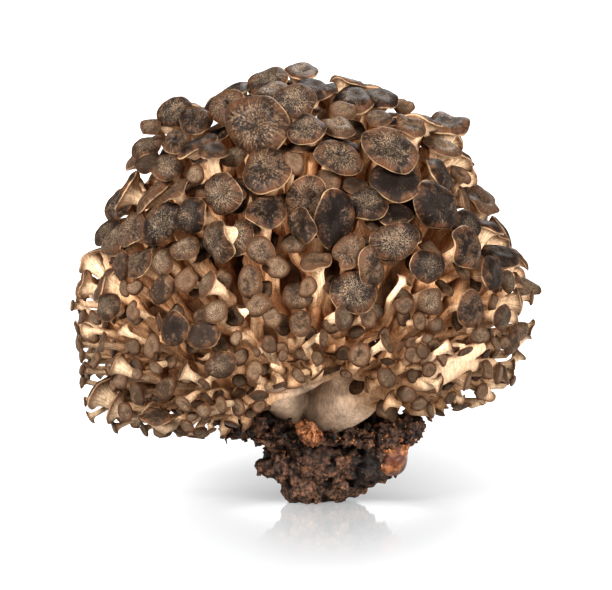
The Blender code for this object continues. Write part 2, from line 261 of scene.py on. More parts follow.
def bumps(points, size, seed=0):
    """Soft random values from -1 to 1, with bumps of about this size."""
    at = np.asarray(points) / size
    low = np.floor(at)
    part = at - low
    part = part * part * (3 - 2 * part)
    total = 0.0
    for corner in np.ndindex(2, 2, 2):
        weight = np.prod(np.where(np.array(corner), part, 1 - part), axis=-1)
        total = total + weight * cell_value(low + corner, seed)
    return total


def nearest_spot(points, size, seed=0):
    """How far points are from the nearest of many scattered spots, in spacings of the spots."""
    at = np.asarray(points) / size
    low = np.floor(at)
    nearest = np.full(at.shape[:-1], 9.0)
    for step in np.ndindex(3, 3, 3):
        cell = low + np.array(step) - 1
        spot = cell + 0.5 + 0.45 * np.stack([cell_value(cell, seed + axis) for axis in range(3)], -1)
        nearest = np.minimum(nearest, ((at - spot) ** 2).sum(-1))
    return np.sqrt(nearest)


def unit(vectors):
    """Vectors of the same directions that are one long."""
    return vectors / np.maximum(np.linalg.norm(vectors, axis=-1, keepdims=True), 1e-12)


def dome_point(share, azimuth):
    """Points on the dome: share 0 is the rim and 1 the crown; azimuth 0 is +X, -Y is the front."""
    height = np.interp(share, ALONG, OUTLINE[:, 0])
    radius = np.interp(share, ALONG, OUTLINE[:, 1])
    swell = np.sin(3 * azimuth + 0.6) + 0.6 * np.sin(5 * azimuth - 1.1)
    radius = radius * (1 + LOBES * swell * np.sin(np.pi * share))
    from_front = np.remainder(azimuth - NOTCH_AZIMUTH + np.pi, 2 * np.pi) - np.pi
    rise = RIM_LEAN * np.cos(azimuth) + NOTCH_RISE * np.exp(-((from_front / NOTCH_WIDTH) ** 2))
    height = height + (1 - share) ** 2 * rise
    return np.stack([radius * np.cos(azimuth), DEPTH * radius * np.sin(azimuth), height], axis=-1)


def dome_normal(share, azimuth):
    """The direction straight out of the dome at these points."""
    step = 0.01
    above = dome_point(np.minimum(share + step, 0.985), azimuth)
    below = dome_point(np.maximum(np.minimum(share, 0.97) - step, 0), azimuth)
    around = dome_point(share, azimuth + step) - dome_point(share, azimuth - step)
    return unit(np.cross(around, above - below))


def behind(across, up):
    """Where on the dome, as share and azimuth, the eye sees the place this far across and up."""
    eye = np.array([0.0, -math.cos(EYE_RISE), math.sin(EYE_RISE)]) * EYE_DISTANCE + np.array(AIM)
    lift = np.array([0.0, math.sin(EYE_RISE), math.cos(EYE_RISE)])
    beside = across[:, None] * np.array([1.0, 0.0, 0.0])
    rays = unit(np.array(AIM) + beside + up[:, None] * lift - eye)
    shares, azimuths = np.meshgrid(np.linspace(0, 0.99, 160), np.linspace(-np.pi, 0.0, 240))
    out = dome_point(shares, azimuths).reshape(-1, 3) - eye
    found = []
    for ray in rays:
        along = out @ ray
        miss = np.linalg.norm(out - along[:, None] * ray, axis=1)
        best = np.argmin(miss + 0.05 * (along - along.min()))
        found.append((shares.flat[best], azimuths.flat[best], eye + ray * along[best]))
    return [np.array(column) for column in zip(*found)]


# ---- where the caps stand


def facing_of(turn, lean):
    """The direction of a cap turned to the right and leaning back by so many degrees."""
    turn, lean = np.radians(turn), np.radians(lean)
    level = np.cos(lean)
    return np.stack([np.sin(turn) * level, -np.cos(turn) * level, np.sin(lean)], axis=-1)


@functools.cache
def front_limbs():
    """Points along each limb that shows on the front, with its radius at each."""
    limbs = []
    for path, radii in FRONT_LIMBS:
        across, up = np.array(path, float).T * MM
        share, azimuth, place = behind(across, up - AIM.z)
        girth = np.array(radii) * MM
        limbs.append((place - dome_normal(share, azimuth) * (girth[:, None] + LIMB_INSET), girth))
    return limbs


def scatter(rng, taken, tier, crowding):
    """Sows caps over the dome wherever there is room between those already there."""
    least, most, room, depth = tier
    share = rng.uniform(0, 1, DARTS)
    azimuth = rng.uniform(-np.pi, np.pi, DARTS)
    width = np.interp(share, ALONG, OUTLINE[:, 1]) / OUTLINE[:, 1].max()
    size = rng.uniform(least, most, DARTS)
    keep = rng.uniform(0, 1, DARTS) < np.maximum(width, 0.03)
    drift = rng.normal(0, 1, (DARTS, 3))
    random = rng.uniform(0, 1, (DARTS, 4))
    point = dome_point(share, azimuth)
    left, right, top = BARE_TRUNK
    bare = (point[:, 0] > left) & (point[:, 0] < right) & (point[:, 2] < top) & (point[:, 1] < 0)
    for limb, girth in front_limbs():
        apart = np.linalg.norm(point[:, None] - limb[None], axis=2)
        bare |= (apart < girth[None] + LIMB_CLEARANCE).any(axis=1)
    keep &= ~bare
    share, azimuth, size, point, drift, random = (
        values[keep] for values in (share, azimuth, size, point, drift, random)
    )
    size = size * np.interp(point[:, 2], GROWTH_HEIGHTS, GROWTH_RADII)
    gap = crowding * room * np.interp(point[:, 2], GROWTH_HEIGHTS, GROWTH_ROOM)
    count = len(taken[0])
    places = np.empty((count + len(point), 3))
    radii = np.empty(len(places))
    places[:count], radii[:count] = taken
    new = []
    for i in range(len(point)):
        apart = np.linalg.norm(places[:count] - point[i], axis=1)
        if count and (apart - gap[i] * (radii[:count] + size[i])).min() < 0:
            continue
        places[count], radii[count] = point[i], size[i]
        count += 1
        new.append(i)
    share, azimuth = share[new], azimuth[new]
    normal = dome_normal(share, azimuth)
    height = share[:, None]
    lift = np.array([0, 0, 1.0]) * (0.10 + 0.42 * height)
    odd = random[new, 1:2] < ODD_CAPS
    loose = (0.60 - 0.45 * height + 0.45 * (1 - height) * odd) * (0.4 if depth else 1.0)
    return {
        "share": share,
        "azimuth": azimuth,
        "radius": size[new],
        "place": point[new] - normal * depth,
        "facing": unit(normal + lift + drift[new] * loose),
        "random": random[new],
    }


@functools.cache
def plan_caps(seed, crowding):
    """Every cap's middle, facing and radius, and the four random numbers that shape it."""
    rng = np.random.default_rng(seed)
    across, up, radius, turn, lean = np.array(FRONT_CAPS, float).T
    share, azimuth, place = behind(across * MM, up * MM - AIM.z)
    groups = [
        {
            "share": share,
            "azimuth": azimuth,
            "radius": radius * MM,
            "place": place,
            "facing": unit(facing_of(turn, lean) + rng.normal(0, 0.15, (len(share), 3))),
            "random": rng.uniform(0, 1, (len(share), 4)),
        }
    ]
    for tier in TIERS:
        outer = [] if tier[-1] else groups
        places = np.concatenate([np.zeros((0, 3))] + [made["place"] for made in outer])
        radii = np.concatenate([np.zeros(0)] + [made["radius"] for made in outer])
        groups.append(scatter(rng, (places, radii), tier, crowding))
    caps = {key: np.concatenate([made[key] for made in groups]) for key in groups[0]}
    normal = dome_normal(caps["share"], caps["azimuth"])
    caps["place"] = caps["place"] + normal * stagger(caps)[:, None]
    return caps


def stagger(caps):
    """How far each cap stands out, so that neighbours lap over each other and don't cut through."""
    place, radius = caps["place"], caps["radius"]
    level = 0.3 * (caps["random"][:, 3] - 0.5) * radius
    apart = np.linalg.norm(place[:, None] - place[None], axis=2)
    reach = radius[:, None] + radius[None]
    near = (apart < reach) & (apart > 0)
    wanted = 0.55 * np.minimum(radius[:, None], radius[None]) * np.clip(1 - apart / reach, 0, 0.5) * 2
    for _ in range(12):
        gap = level[:, None] - level[None]
        short = np.where(near & (np.abs(gap) < wanted), wanted - np.abs(gap), 0)
        level = level + 0.25 * (np.where(gap >= 0, 1, -1) * short).sum(axis=1).clip(-2 * MM, 2 * MM)
    return level.clip(-0.5 * radius, 0.5 * radius)


# ---- how the branches run


def gather(points, weights, count, seed):
    """Splits points into groups of neighbours; gives each point's group."""
    rng = np.random.default_rng(seed)
    chosen = [int(rng.integers(len(points)))]
    nearest = np.linalg.norm(points - points[chosen[0]], axis=1)
    while len(chosen) < count:
        chosen.append(int(np.argmax(nearest)))
        nearest = np.minimum(nearest, np.linalg.norm(points - points[chosen[-1]], axis=1))
    middles = points[chosen]
    for _ in range(6):
        group = np.argmin(np.linalg.norm(points[:, None] - middles[None], axis=2), axis=1)
        for i in range(count):
            inside = group == i
            if inside.any():
                middles[i] = np.average(points[inside], axis=0, weights=weights[inside])
    return group


LEVELS = (  # caps or branches in each group, how far the joint lies below them
    (3.4, 0.27),
    (3.6, 0.30),
    (3.4, 0.36),
    (3.0, 0.40),
)
THICKNESS_POWER = 2.9
LEAST_TWIG = 1.6 * MM


@functools.cache
def plan_branches(seed, crowding, stalk):
    """The joints of the branches, from the twigs below the caps down to the trunk's fork."""
    caps = plan_caps(seed, crowding)
    ends = caps["place"] - caps["facing"] * (caps["radius"] * 0.8)[:, None]
    thick = np.maximum(caps["radius"] * stalk, LEAST_TWIG * 0.8)
    tree = []
    for level, (per_group, pull) in enumerate(LEVELS):
        count = max(int(len(ends) / per_group), 8)
        group = gather(ends, thick, count, seed + level)
        joints = np.zeros((count, 3))
        stout = np.zeros(count)
        for i in range(count):
            inside = group == i
            if not inside.any():
                joints[i] = FORK
                continue
            middle = np.average(ends[inside], axis=0, weights=thick[inside])
            spread = np.linalg.norm(ends[inside] - middle, axis=1).mean()
            down = FORK - middle
            length = np.linalg.norm(down)
            step = min(max(pull * length, 1.15 * spread + 4 * MM), 0.75 * length)
            sag = np.array([0, 0, -0.18]) * step
            joints[i] = middle + down / length * step + sag * (middle[2] > 0.11)
            stout[i] = (thick[inside] ** THICKNESS_POWER).sum() ** (1 / THICKNESS_POWER)
        stout = np.maximum(stout, LEAST_TWIG)
        tree.append({"ends": ends, "thick": thick, "group": group, "joints": joints, "stout": stout})
        ends, thick = joints, stout
    return tree


def bent_path(start, end, lead_in, steps):
    """Points on a smooth curve from start to end that leaves start along lead_in."""
    length = np.linalg.norm(end - start)
    handle = start + unit(lead_in) * length * 0.42
    t = np.linspace(0, 1, steps)[:, None]
    return (1 - t) ** 2 * start + 2 * t * (1 - t) * handle + t**2 * end


# ---- caps with their stalks

CAP_GRADES = (  # least radius, points around, rings on the top, rings on the flare, on the stalk
    (11.5 * MM, 36, 9, 6, 4),
    (7.0 * MM, 24, 7, 5, 3),
    (4.5 * MM, 16, 5, 4, 3),
    (0.0, 12, 4, 3, 3),
)
CAP_LOBES = (  # lobes round the edge, how deep, and how far a random number turns them
    (2, 0.065, 1),
    (3, 0.038, 7),
    (5, 0.014, 5),
    (9, 0.010, 3),
)
LARGE_CAP = 13 * MM  # from this radius up, a cap has none of a small cap's colours
SMALL_CAP = 6 * MM


def cap_frame(facing, spin):
    """Two directions across each cap, turned by its spin."""
    helper = np.where(np.abs(facing[:, 2:3]) > 0.9, [[1.0, 0, 0]], [[0, 0, 1.0]])
    side = unit(np.cross(helper, facing))
    other = np.cross(facing, side)
    turn = spin[:, None] * 2 * np.pi
    return np.cos(turn) * side + np.sin(turn) * other, np.cos(turn) * other - np.sin(turn) * side


def cap_outline(angle, random):
    """How far each cap reaches at each angle, as a share of its radius: lobed, some notched."""
    turns = random * 2 * np.pi
    reach = 1.0
    for i, (lobes, depth, turn) in enumerate(CAP_LOBES):
        reach = reach + depth * np.sin(lobes * angle + turn * turns[:, i : i + 1])
    notch = np.clip(random[:, 2:3] * 1.6 - 1.05, 0, 0.4)
    apart = np.remainder(angle - 3 * turns[:, :1] + np.pi, 2 * np.pi) - np.pi
    return reach - notch * np.exp(-((apart / 0.32) ** 2))


def top_height(size, dent, curl):
    """Height of a cap's top, in radii: a dent in the middle, a gentle dome, a rolled margin."""
    bowl = dent * np.exp(-((size / 0.30) ** 2))
    return 0.07 * (1 - size**2) - bowl - curl * size**4 - 0.05 * size**20


def grow_discs(caps, stalk, grade):
    """The rings of each cap from the stalk's top over the margin to the middle, in its radii."""
    _, around, top_rings, flare_rings, _ = grade
    radius, random = caps["radius"][:, None], caps["random"]
    angle = np.linspace(0, 2 * np.pi, around, endpoint=False)[None]
    reach = cap_outline(angle, random)
    stretch = 1 + 0.36 * (random[:, 1:2] - 0.5)
    wave = 0.03 + 0.11 * random[:, 3:4] ** 2
    waves = np.sin(3 * angle + 9 * random[:, 1:2]) + 0.7 * np.sin(4 * angle - 14 * random[:, 2:3])
    off_middle = 0.26 * (random[:, 3:4] - 0.35)
    dent = 0.08 + 0.14 * random[:, 2:3]
    curl = 0.05 + 0.22 * random[:, 1:2]
    stem = stalk * (0.85 + 0.4 * random[:, 0:1]) + 0.6 * MM / radius
    trumpet = 0.55 + 0.6 * random[:, 0:1]
    margin = top_height(1.0, dent, curl)
    rings, sizes = [], []

    def ring(size, height, lobed):
        shape = 1 + (reach - 1) * lobed
        x = size * shape * np.cos(angle) * stretch + off_middle * lobed
        y = size * shape * np.sin(angle) / stretch
        z = height + wave * waves * lobed * size**2
        rings.append(np.stack(np.broadcast_arrays(x, y, z), axis=-1))
        sizes.append(np.broadcast_to(size, (len(radius), 1)))

    for step in range(flare_rings):
        t = step / (flare_rings - 0.5)
        size = stem + (0.96 - stem) * t**1.3
        ring(size, margin - 0.065 - trumpet * (1 - t) ** 1.8, t**2)
    ring(0.985, margin - 0.055, 1.0)
    ring(1.005, margin - 0.022, 1.0)
    for step in range(top_rings):
        size = 1 - (step / top_rings) ** 1.45
        ring(size, top_height(size, dent, curl), min(size * 1.1, 1.0))
    rings = np.stack(rings, axis=1)
    grain = 0.03 * bumps(rings[..., :2] @ np.eye(2, 3) + random[:, None, None, :3] * 40, 0.28)
    rings[..., 2] += grain * (np.arange(rings.shape[1]) > flare_rings)[None, :, None]
    middle = np.stack(np.broadcast_arrays(0.0, 0.0, top_height(0.0, dent, curl)[:, 0]), axis=-1)
    collar = (margin - 0.065 - trumpet)[:, 0] * caps["radius"]
    return rings, np.concatenate(sizes, axis=1), middle, collar, (stem * radius)[:, 0]


def grow_stalks(caps, side, collar, girth, grade):
    """The rings of each stalk, from its foot up to the flare under its cap."""
    _, around, _, _, stalk_rings = grade
    facing, feet = caps["facing"], caps["feet"]
    angle = np.linspace(0, 2 * np.pi, around, endpoint=False)[None, :, None]
    head = caps["place"] + facing * collar[:, None]
    length = np.linalg.norm(feet - head, axis=1, keepdims=True)
    upper = head - facing * length * 0.40
    lower = feet + caps["leads"] * length * 0.30
    rings = []
    for step in range(stalk_rings):
        t = 1 - (step + 1) / stalk_rings
        u = 1 - t
        at = u**3 * feet + 3 * u**2 * t * lower + 3 * u * t**2 * upper + t**3 * head
        slope = unit(u**2 * (lower - feet) + 2 * t * u * (upper - lower) + t**2 * (head - upper))
        side = unit(side - slope * (side * slope).sum(-1, keepdims=True))
        width = (girth * (1.15 - 0.15 * t))[:, None, None]
        turn = np.cos(angle) * side[:, None] + np.sin(angle) * np.cross(slope, side)[:, None]
        rings.append(at[:, None] + width * turn)
    return np.stack(rings[::-1], axis=1)


def grow_stalked_caps(caps, stalk, grade):
    """Points, faces and painting values of caps with their stalks, all of one grade."""
    _, around, _, flare_rings, stalk_rings = grade
    number = len(caps["radius"])
    rings, sizes, middle, collar, girth = grow_discs(caps, stalk, grade)
    across, along = cap_frame(caps["facing"], caps["random"][:, 0])
    axes = np.stack([across, along, caps["facing"]], axis=1) * caps["radius"][:, None, None]
    solid = caps["place"][:, None, None] + rings @ axes[:, None]
    tip = caps["place"] + (middle[:, None] @ axes)[:, 0]
    solid = np.concatenate([grow_stalks(caps, across, collar, girth, grade), solid], axis=1)
    points = np.concatenate([solid.reshape(number, -1, 3), tip[:, None]], axis=1)
    each = points.shape[1]

    def drawn_down(values):
        """Values of the cap's rings, with the lowest ring's for the stalk too."""
        return np.concatenate([np.repeat(values[:, :1], stalk_rings, axis=1), values], axis=1)

    disc = np.zeros((number, each, 3))
    disc[:, :-1, :2] = drawn_down(rings)[..., :2].reshape(number, -1, 2)
    disc[..., 2] = caps["random"][:, 0:1]
    reach = np.zeros((number, each))
    reach[:, :-1] = np.repeat(drawn_down(sizes), around, axis=1)
    margin = (stalk_rings + flare_rings + 1) * around
    zone = np.zeros((number, each))
    zone[:, margin:] = 0.5
    zone[:, margin + around :] = 1.0
    small = np.clip((LARGE_CAP - caps["radius"]) / (LARGE_CAP - SMALL_CAP), 0, 1)
    painted = {
        "zone": zone.ravel(),
        "tone": np.repeat(caps["random"][:, 2], each),
        "small": np.repeat(small, each),
        "reach": reach.ravel(),
        "disc": disc.reshape(-1, 3),
    }
    return points.reshape(-1, 3), ring_faces(number, solid.shape[1], around), painted


def ring_faces(number, rings, around):
    """Faces of many like tubes: between their rings, over the last ring's tip and at the foot."""
    column = np.arange(around)
    after = (column + 1) % around
    quads = []
    for row in range(rings - 1):
        low, high = row * around, (row + 1) * around
        quads.append(np.stack([low + column, low + after, high + after, high + column], -1))
    quads = np.concatenate(quads)
    last = (rings - 1) * around
    fan = np.stack([last + column, last + after, np.full(around, rings * around)], -1)
    starts = (np.arange(number) * (rings * around + 1))[:, None, None]
    foot = starts[:, 0] + column[::-1][None]
    return [(starts + quads).reshape(-1, 4), (starts + fan).reshape(-1, 3), foot]


# ---- meshes and objects


def new_mesh(name, points, faces):
    """A mesh from points and blocks of faces that have as many corners each."""
    mesh = bpy.data.meshes.new(name)
    sizes = np.concatenate([np.full(len(block), block.shape[1]) for block in faces])
    corners = np.concatenate([block.reshape(-1) for block in faces])
    mesh.vertices.add(len(points))
    mesh.vertices.foreach_set("co", points.astype(np.float32).ravel())
    mesh.loops.add(len(corners))
    mesh.loops.foreach_set("vertex_index", corners.astype(np.int32))
    mesh.polygons.add(len(sizes))
    starts = np.concatenate([[0], np.cumsum(sizes)[:-1]])
    mesh.polygons.foreach_set("loop_start", starts.astype(np.int32))
    mesh.update(calc_edges=True)
    return mesh


def new_piece(name, points, faces, values, slot, node, material, sharp=None):
    """An object made from points and faces that rides on the body and stands for a solid."""
    mesh = new_mesh(name, points, faces)
    for key, value in values.items():
        kind, field = ("FLOAT_VECTOR", "vector") if value.ndim == 2 else ("FLOAT", "value")
        attribute = mesh.attributes.new(key, kind, "POINT")
        attribute.data.foreach_set(field, value.astype(np.float32).ravel())
    mesh.shade_smooth()
    if sharp is not None:
        mesh.set_sharp_from_angle(angle=sharp)
    mesh.materials.append(material)
    piece = bpy.data.objects.new(name, mesh)
    bpy.context.scene.collection.objects.link(piece)
    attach(piece, BODY)
    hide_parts(node)


SHADE_BY_HEIGHT = (  # height, how strong the painted shade inside gets, how deep that is; in millimetres
    (58, 0.24, 30),
    (74, 0.48, 30),
    (100, 0.56, 34),
    (150, 0.70, 62),
    (200, 0.82, 84),
)
NOTCH_LESS_SHADE = 0.45  # how much less painted shade there is behind the bare trunk
CLEFT = ((5, 60), (0, 96))  # the lower and upper end of the fold that gets painted shade, across and up
CLEFT_WIDTH = 8 * MM
TRUNK_SKIN = MM * np.array(((104, 18), (74, 14)))  # its top and its reach, and how soft each is


def painted_shade_depth(points):
    """How far points lie inside the dome, 0 at its skin to 1 well in, times the painted shade's
    strength there.
    """
    widest = int(np.argmax(OUTLINE[:, 1]))
    girth = np.interp(points[:, 2], OUTLINE[:, 0], OUTLINE[:, 1])
    out = np.hypot(points[:, 0], points[:, 1] / DEPTH)
    roof = np.interp(out, OUTLINE[widest:, 1][::-1], OUTLINE[widest:, 0][::-1])
    heights, strengths, depths = np.array(SHADE_BY_HEIGHT).T
    strength = np.interp(points[:, 2], MM * heights, strengths)
    full_depth = np.interp(points[:, 2], MM * heights, MM * depths)
    azimuth = np.arctan2(points[:, 1] / DEPTH, points[:, 0])
    notch = np.exp(-(((azimuth - NOTCH_AZIMUTH) / (1.6 * NOTCH_WIDTH)) ** 2))
    strength *= 1 - NOTCH_LESS_SHADE * notch * np.clip((170 * MM - points[:, 2]) / (60 * MM), 0, 1)
    return np.clip(np.minimum(girth - out, roof - points[:, 2]) / full_depth, 0, 1) * strength


def trunk_share(points):
    """How far points belong to the trunk's skin: 1 on the trunk, fading to 0 on the limbs."""
    (top, top_fade), (reach, reach_fade) = TRUNK_SKIN
    low = np.clip((top - points[:, 2]) / top_fade, 0, 1)
    out = np.hypot(points[:, 0] - FORK[0], points[:, 1])
    return low * np.clip((reach - out) / reach_fade, 0, 1)


def painted_cleft_shade(points):
    """How close points lie to the fold between the trunk's lobes, for its painted shade: 1 in it,
    fading to 0 beside.
    """
    (low_x, low_z), (high_x, high_z) = MM * np.array(CLEFT)
    along = np.clip((points[:, 2] - low_z) / (high_z - low_z), 0, 1)
    beside = np.abs(points[:, 0] - low_x - along * (high_x - low_x))
    return np.exp(-((beside / CLEFT_WIDTH) ** 2)) * (points[:, 1] < 0)


# ---- the branches as one skin


class Clay:
    """A block of cells that round shapes are added to, which then gives one smooth skin."""

    def __init__(self, low, high, grain, blend):
        self.low = np.array(low)
        self.grain = grain
        self.blend = blend
        self.count = np.ceil((np.array(high) - self.low) / grain).astype(int) + 1
        self.sum = np.zeros(self.count, np.float32)

    def cells(self, low, high):
        """The block of cells between two corners, as slices and as places along each axis."""
        first = np.clip(np.floor((low - self.low) / self.grain).astype(int), 0, self.count)
        last = np.clip(np.ceil((high - self.low) / self.grain).astype(int) + 1, 0, self.count)
        axes = [self.low[i] + self.grain * np.arange(first[i], last[i]) for i in range(3)]
        return tuple(slice(a, b) for a, b in zip(first, last)), axes

    def add_branch(self, path, radii):
        """Adds a bent, tapering branch through these points."""
        margin = radii.max() + 4 * self.blend
        window, axes = self.cells(path.min(0) - margin, path.max(0) + margin)
        if min(len(axis) for axis in axes) < 2:
            return
        x, y, z = np.meshgrid(*axes, indexing="ij")
        nearest = np.full(x.shape, 1.0, np.float32)
        for start, end, near, far in zip(path, path[1:], radii, radii[1:]):
            run = end - start
            span = max(float(run @ run), 1e-12)
            dx, dy, dz = x - start[0], y - start[1], z - start[2]
            t = np.clip((dx * run[0] + dy * run[1] + dz * run[2]) / span, 0, 1)
            away = np.sqrt((dx - t * run[0]) ** 2 + (dy - t * run[1]) ** 2 + (dz - t * run[2]) ** 2)
            nearest = np.minimum(nearest, away - (near + t * (far - near)))
        self.sum[window] += np.exp(-nearest / self.blend).astype(np.float32)

    def add_lump(self, centre, half):
        """Adds an egg-shaped lump."""
        centre, half = np.array(centre), np.array(half)
        window, axes = self.cells(centre - half - 4 * self.blend, centre + half + 4 * self.blend)
        x, y, z = np.meshgrid(*[axis - c for axis, c in zip(axes, centre)], indexing="ij")
        ratio = np.sqrt((x / half[0]) ** 2 + (y / half[1]) ** 2 + (z / half[2]) ** 2)
        slope = np.sqrt((x / half[0] ** 2) ** 2 + (y / half[1] ** 2) ** 2 + (z / half[2] ** 2) ** 2)
        away = np.maximum(ratio * (ratio - 1) / np.maximum(slope, 1e-6), -8 * self.blend)
        self.sum[window] += np.exp(-away / self.blend).astype(np.float32)

    def depth(self):
        """Signed distance to the surface, about right close to it and negative inside."""
        return -self.blend * np.log(np.maximum(self.sum, 1e-12))

    def roughened(self, relief, reach):
        """The depth with a relief, a function of place, added near the surface."""
        depth = self.depth()
        near = np.argwhere(np.abs(depth) < reach)
        depth[tuple(near.T)] += relief(self.low + near * self.grain)
        return depth

    def skin(self, depth, region=None):
        """The surface where depth is zero, as points and faces, cut to a region of space."""
        low = self.low
        if region is not None:
            first = np.clip(((region.low - low) / self.grain).astype(int) - 2, 0, self.count - 2)
            last = np.clip(((region.high - low) / self.grain).astype(int) + 3, 2, self.count)
            depth = depth[tuple(slice(a, b) for a, b in zip(first, last))]
            low = low + first * self.grain
            depth = np.maximum(depth, region.distance(low, self.grain, depth.shape))
        depth = np.clip(depth, -3 * self.grain, 3 * self.grain)
        depth = np.pad(depth, 1, constant_values=3 * self.grain)
        grid = openvdb.FloatGrid(3 * self.grain)
        grid.copyFromArray(np.ascontiguousarray(depth, dtype=np.float32))
        points, triangles, quads = grid.convertToPolygons(0.0, 0.0)
        faces = [block for block in (triangles, quads) if len(block)]
        return (points - 1) * self.grain + low, faces


WIDEST = 0.2  # no branch is further out than this, or higher than the next
TALLEST = 0.4


class Wedge:
    """The part of space between two upright planes through the middle, outside the trunk's box."""

    def __init__(self, start, end, overlap):
        self.walls = ((math.sin(start), -math.cos(start)), (-math.sin(end), math.cos(end)))
        self.overlap = overlap
        turns = np.linspace(start, end, 5)
        tips = WIDEST * np.stack([np.cos(turns), np.sin(turns)], -1)
        tips = np.concatenate([tips, np.zeros((1, 2))])
        self.low = np.array([*tips.min(0), 0.0])
        self.high = np.array([*tips.max(0), TALLEST])

    def distance(self, low, grain, shape):
        """Signed distance to the wedge in each cell of a block."""
        x, y, z = (low[i] + grain * np.arange(shape[i]) for i in range(3))
        away = [ax * x[:, None, None] + ay * y[None, :, None] for ax, ay in self.walls]
        wedge = np.maximum(*away) - self.overlap
        return np.maximum(wedge, -trunk_box(x, y, z) - self.overlap)


class TrunkBox:
    """The box that holds the trunk and the lowest limbs."""

    low = MM * np.array((-62, -62, 0))
    high = MM * np.array((76, 62, 104))

    def distance(self, low, grain, shape):
        """Signed distance to the box in each cell of a block."""
        return trunk_box(*(low[i] + grain * np.arange(shape[i]) for i in range(3)))


def trunk_box(x, y, z):
    """Signed distance to the trunk's box."""
    box = TrunkBox
    sides = (np.maximum(box.low[i] - axis, axis - box.high[i]) for i, axis in enumerate((x, y, z)))
    x, y, z = sides
    return np.maximum(np.maximum(x[:, None, None], y[None, :, None]), z[None, None, :])


def thinned(points, faces, share):
    """The same surface with this share of its faces, as points and triangles."""
    mesh = new_mesh("working", points, faces)
    working = bpy.data.objects.new("working", mesh)
    bpy.context.scene.collection.objects.link(working)
    decimate = working.modifiers.new("thin", "DECIMATE")
    decimate.ratio = share
    shown = working.evaluated_get(bpy.context.evaluated_depsgraph_get()).to_mesh()
    shown.calc_loop_triangles()
    points = np.empty(len(shown.vertices) * 3)
    shown.vertices.foreach_get("co", points)
    triangles = np.empty(len(shown.loop_triangles) * 3, np.int32)
    shown.loop_triangles.foreach_get("vertices", triangles)
    bpy.data.objects.remove(working)
    bpy.data.meshes.remove(mesh)
    return points.reshape(-1, 3), [triangles.reshape(-1, 3)]


TRUNK_LOBES = (  # paths and radii of the trunk's lobes, in millimetres
    (((4, 0, 56), (-6, -10, 70), (-14, -30, 86), (-24, -54, 105)), (12, 15, 17, 14)),
    (((17, -4, 52), (22, -22, 67), (36, -40, 80), (62, -58, 94)), (11, 18, 19, 11)),
    (((8, 10, 50), (4, 12, 72), (6, 12, 100)), (20, 26, 26)),
)
HEART = ((4, 6, 160), (66, 58, 62))  # the fused flesh behind the branches


def tangent_home(tree, level, joint):
    """The direction in which a branch arrives at a joint, from the joint below it."""
    if level + 1 < len(tree):
        below = tree[level + 1]["joints"][tree[level + 1]["group"][joint]]
    else:
        below = FORK
    return unit(tree[level]["joints"][joint] - below)


def shape_branches(shape):
    """The trunk and all the branches, as clay."""
    tree = plan_branches(shape.seed, shape.crowding, shape.stalk)
    low, high = (np.array(corner) for corner in SOLID_BOX)
    clay = Clay(low + (0, 0, 0.03), high, shape.grain, 1.5 * MM)
    for level, part in enumerate(tree):
        for i, joint in enumerate(part["group"]):
            thick = part["thick"][i]
            lead = tangent_home(tree, level, joint)
            path = bent_path(part["joints"][joint], part["ends"][i], lead, 5)
            radii = np.linspace(min(part["stout"][joint], 1.5 * thick), thick, 5)
            if level == 0:
                path, radii = path[:3], radii[:3] * (1, 1, 0.9)
            clay.add_branch(path, radii)
    for joint, stout in zip(tree[-1]["joints"], tree[-1]["stout"]):
        path = bent_path(FORK, joint, joint - FORK + (0, 0, 0.03), 6)
        clay.add_branch(path, np.linspace(min(1.35 * stout, 16 * MM), stout, 6))
    for limb, girth in front_limbs():
        root = FORK + 0.5 * (limb[0] - FORK)
        clay.add_branch(np.concatenate([[root], limb]), np.concatenate([girth[:1], girth]))
    clay.add_lump(*(MM * np.array(HEART)))
    for path, radii in TRUNK_LOBES:
        clay.add_branch(MM * np.array(path), MM * np.array(radii))
    return clay


# ---- clod and rotten wood

CLOD_LUMPS = (  # middle and half sizes, in millimetres
    ((12, 4, 33), (37, 34, 19)),
    ((4, -4, 12), (13, 18, 13)),
    ((26, 3, 17), (20, 24, 15)),
    ((-19, -16, 26), (9, 12, 6)),
    ((48, -6, 33), (22, 26, 15)),
    ((46, -12, 26), (14, 18, 9)),
    ((50, -27, 31), (9, 10, 12)),
    ((14, 4, 50), (58, 46, 5)),
    ((-38, -12, 60), (20, 16, 3)),
    ((62, -14, 53), (25, 22, 8)),
    ((53, -14, 63), (13, 14, 9)),
)
WOOD_CORNER_LUMPS = (
    ((60, -20, 30), (13, 14, 9)),
    ((66, -21, 35), (7, 14, 12)),
    ((65, -22, 38), (8, 13, 10)),
    ((66, -22, 43), (11, 13, 6)),
)
WOOD_CRUMB_LUMPS = (((5, -45, 55), (8, 6, 9)), ((12, -44, 50), (7, 5, 5)))
WOODY_SPOTS = (((7, -44, 54), 14), ((34, -42, 52), 10), ((66, -30, 50), 18))  # middle, reach
CLOD_GRAIN = 1.15 * MM
CRUMBS = ((40 * MM, 1300), (6 * MM, 500))  # the lowest that they lie, and how many


def craggy(places):
    """Relief of the clod's crust: lumps upon lumps, with upright ridges and fine crumbs."""
    large = 3.0 * bumps(places, 24 * MM, 3)
    ridges = 2.6 * (1 - 2 * np.abs(bumps(places * (1.0, 1.0, 0.45), 7 * MM, 5)))
    knobs = 6.0 * (nearest_spot(places, 9 * MM, 1) - 0.55)
    crumbs = 3.6 * (nearest_spot(places, 3.6 * MM, 7) - 0.55)
    return MM * (large - ridges + knobs + crumbs)


def spongy(places):
    """Relief of rotten wood: round holes eaten into it."""
    holes = 2.6 * np.maximum(0.52 - nearest_spot(places, 4.2 * MM, 13), 0) * 4
    shreds = 1.6 * (1 - 2 * np.abs(bumps(places * (1.0, 1.0, 0.4), 3 * MM, 4)))
    return MM * (holes + 1.8 * bumps(places, 8 * MM, 2) + shreds)


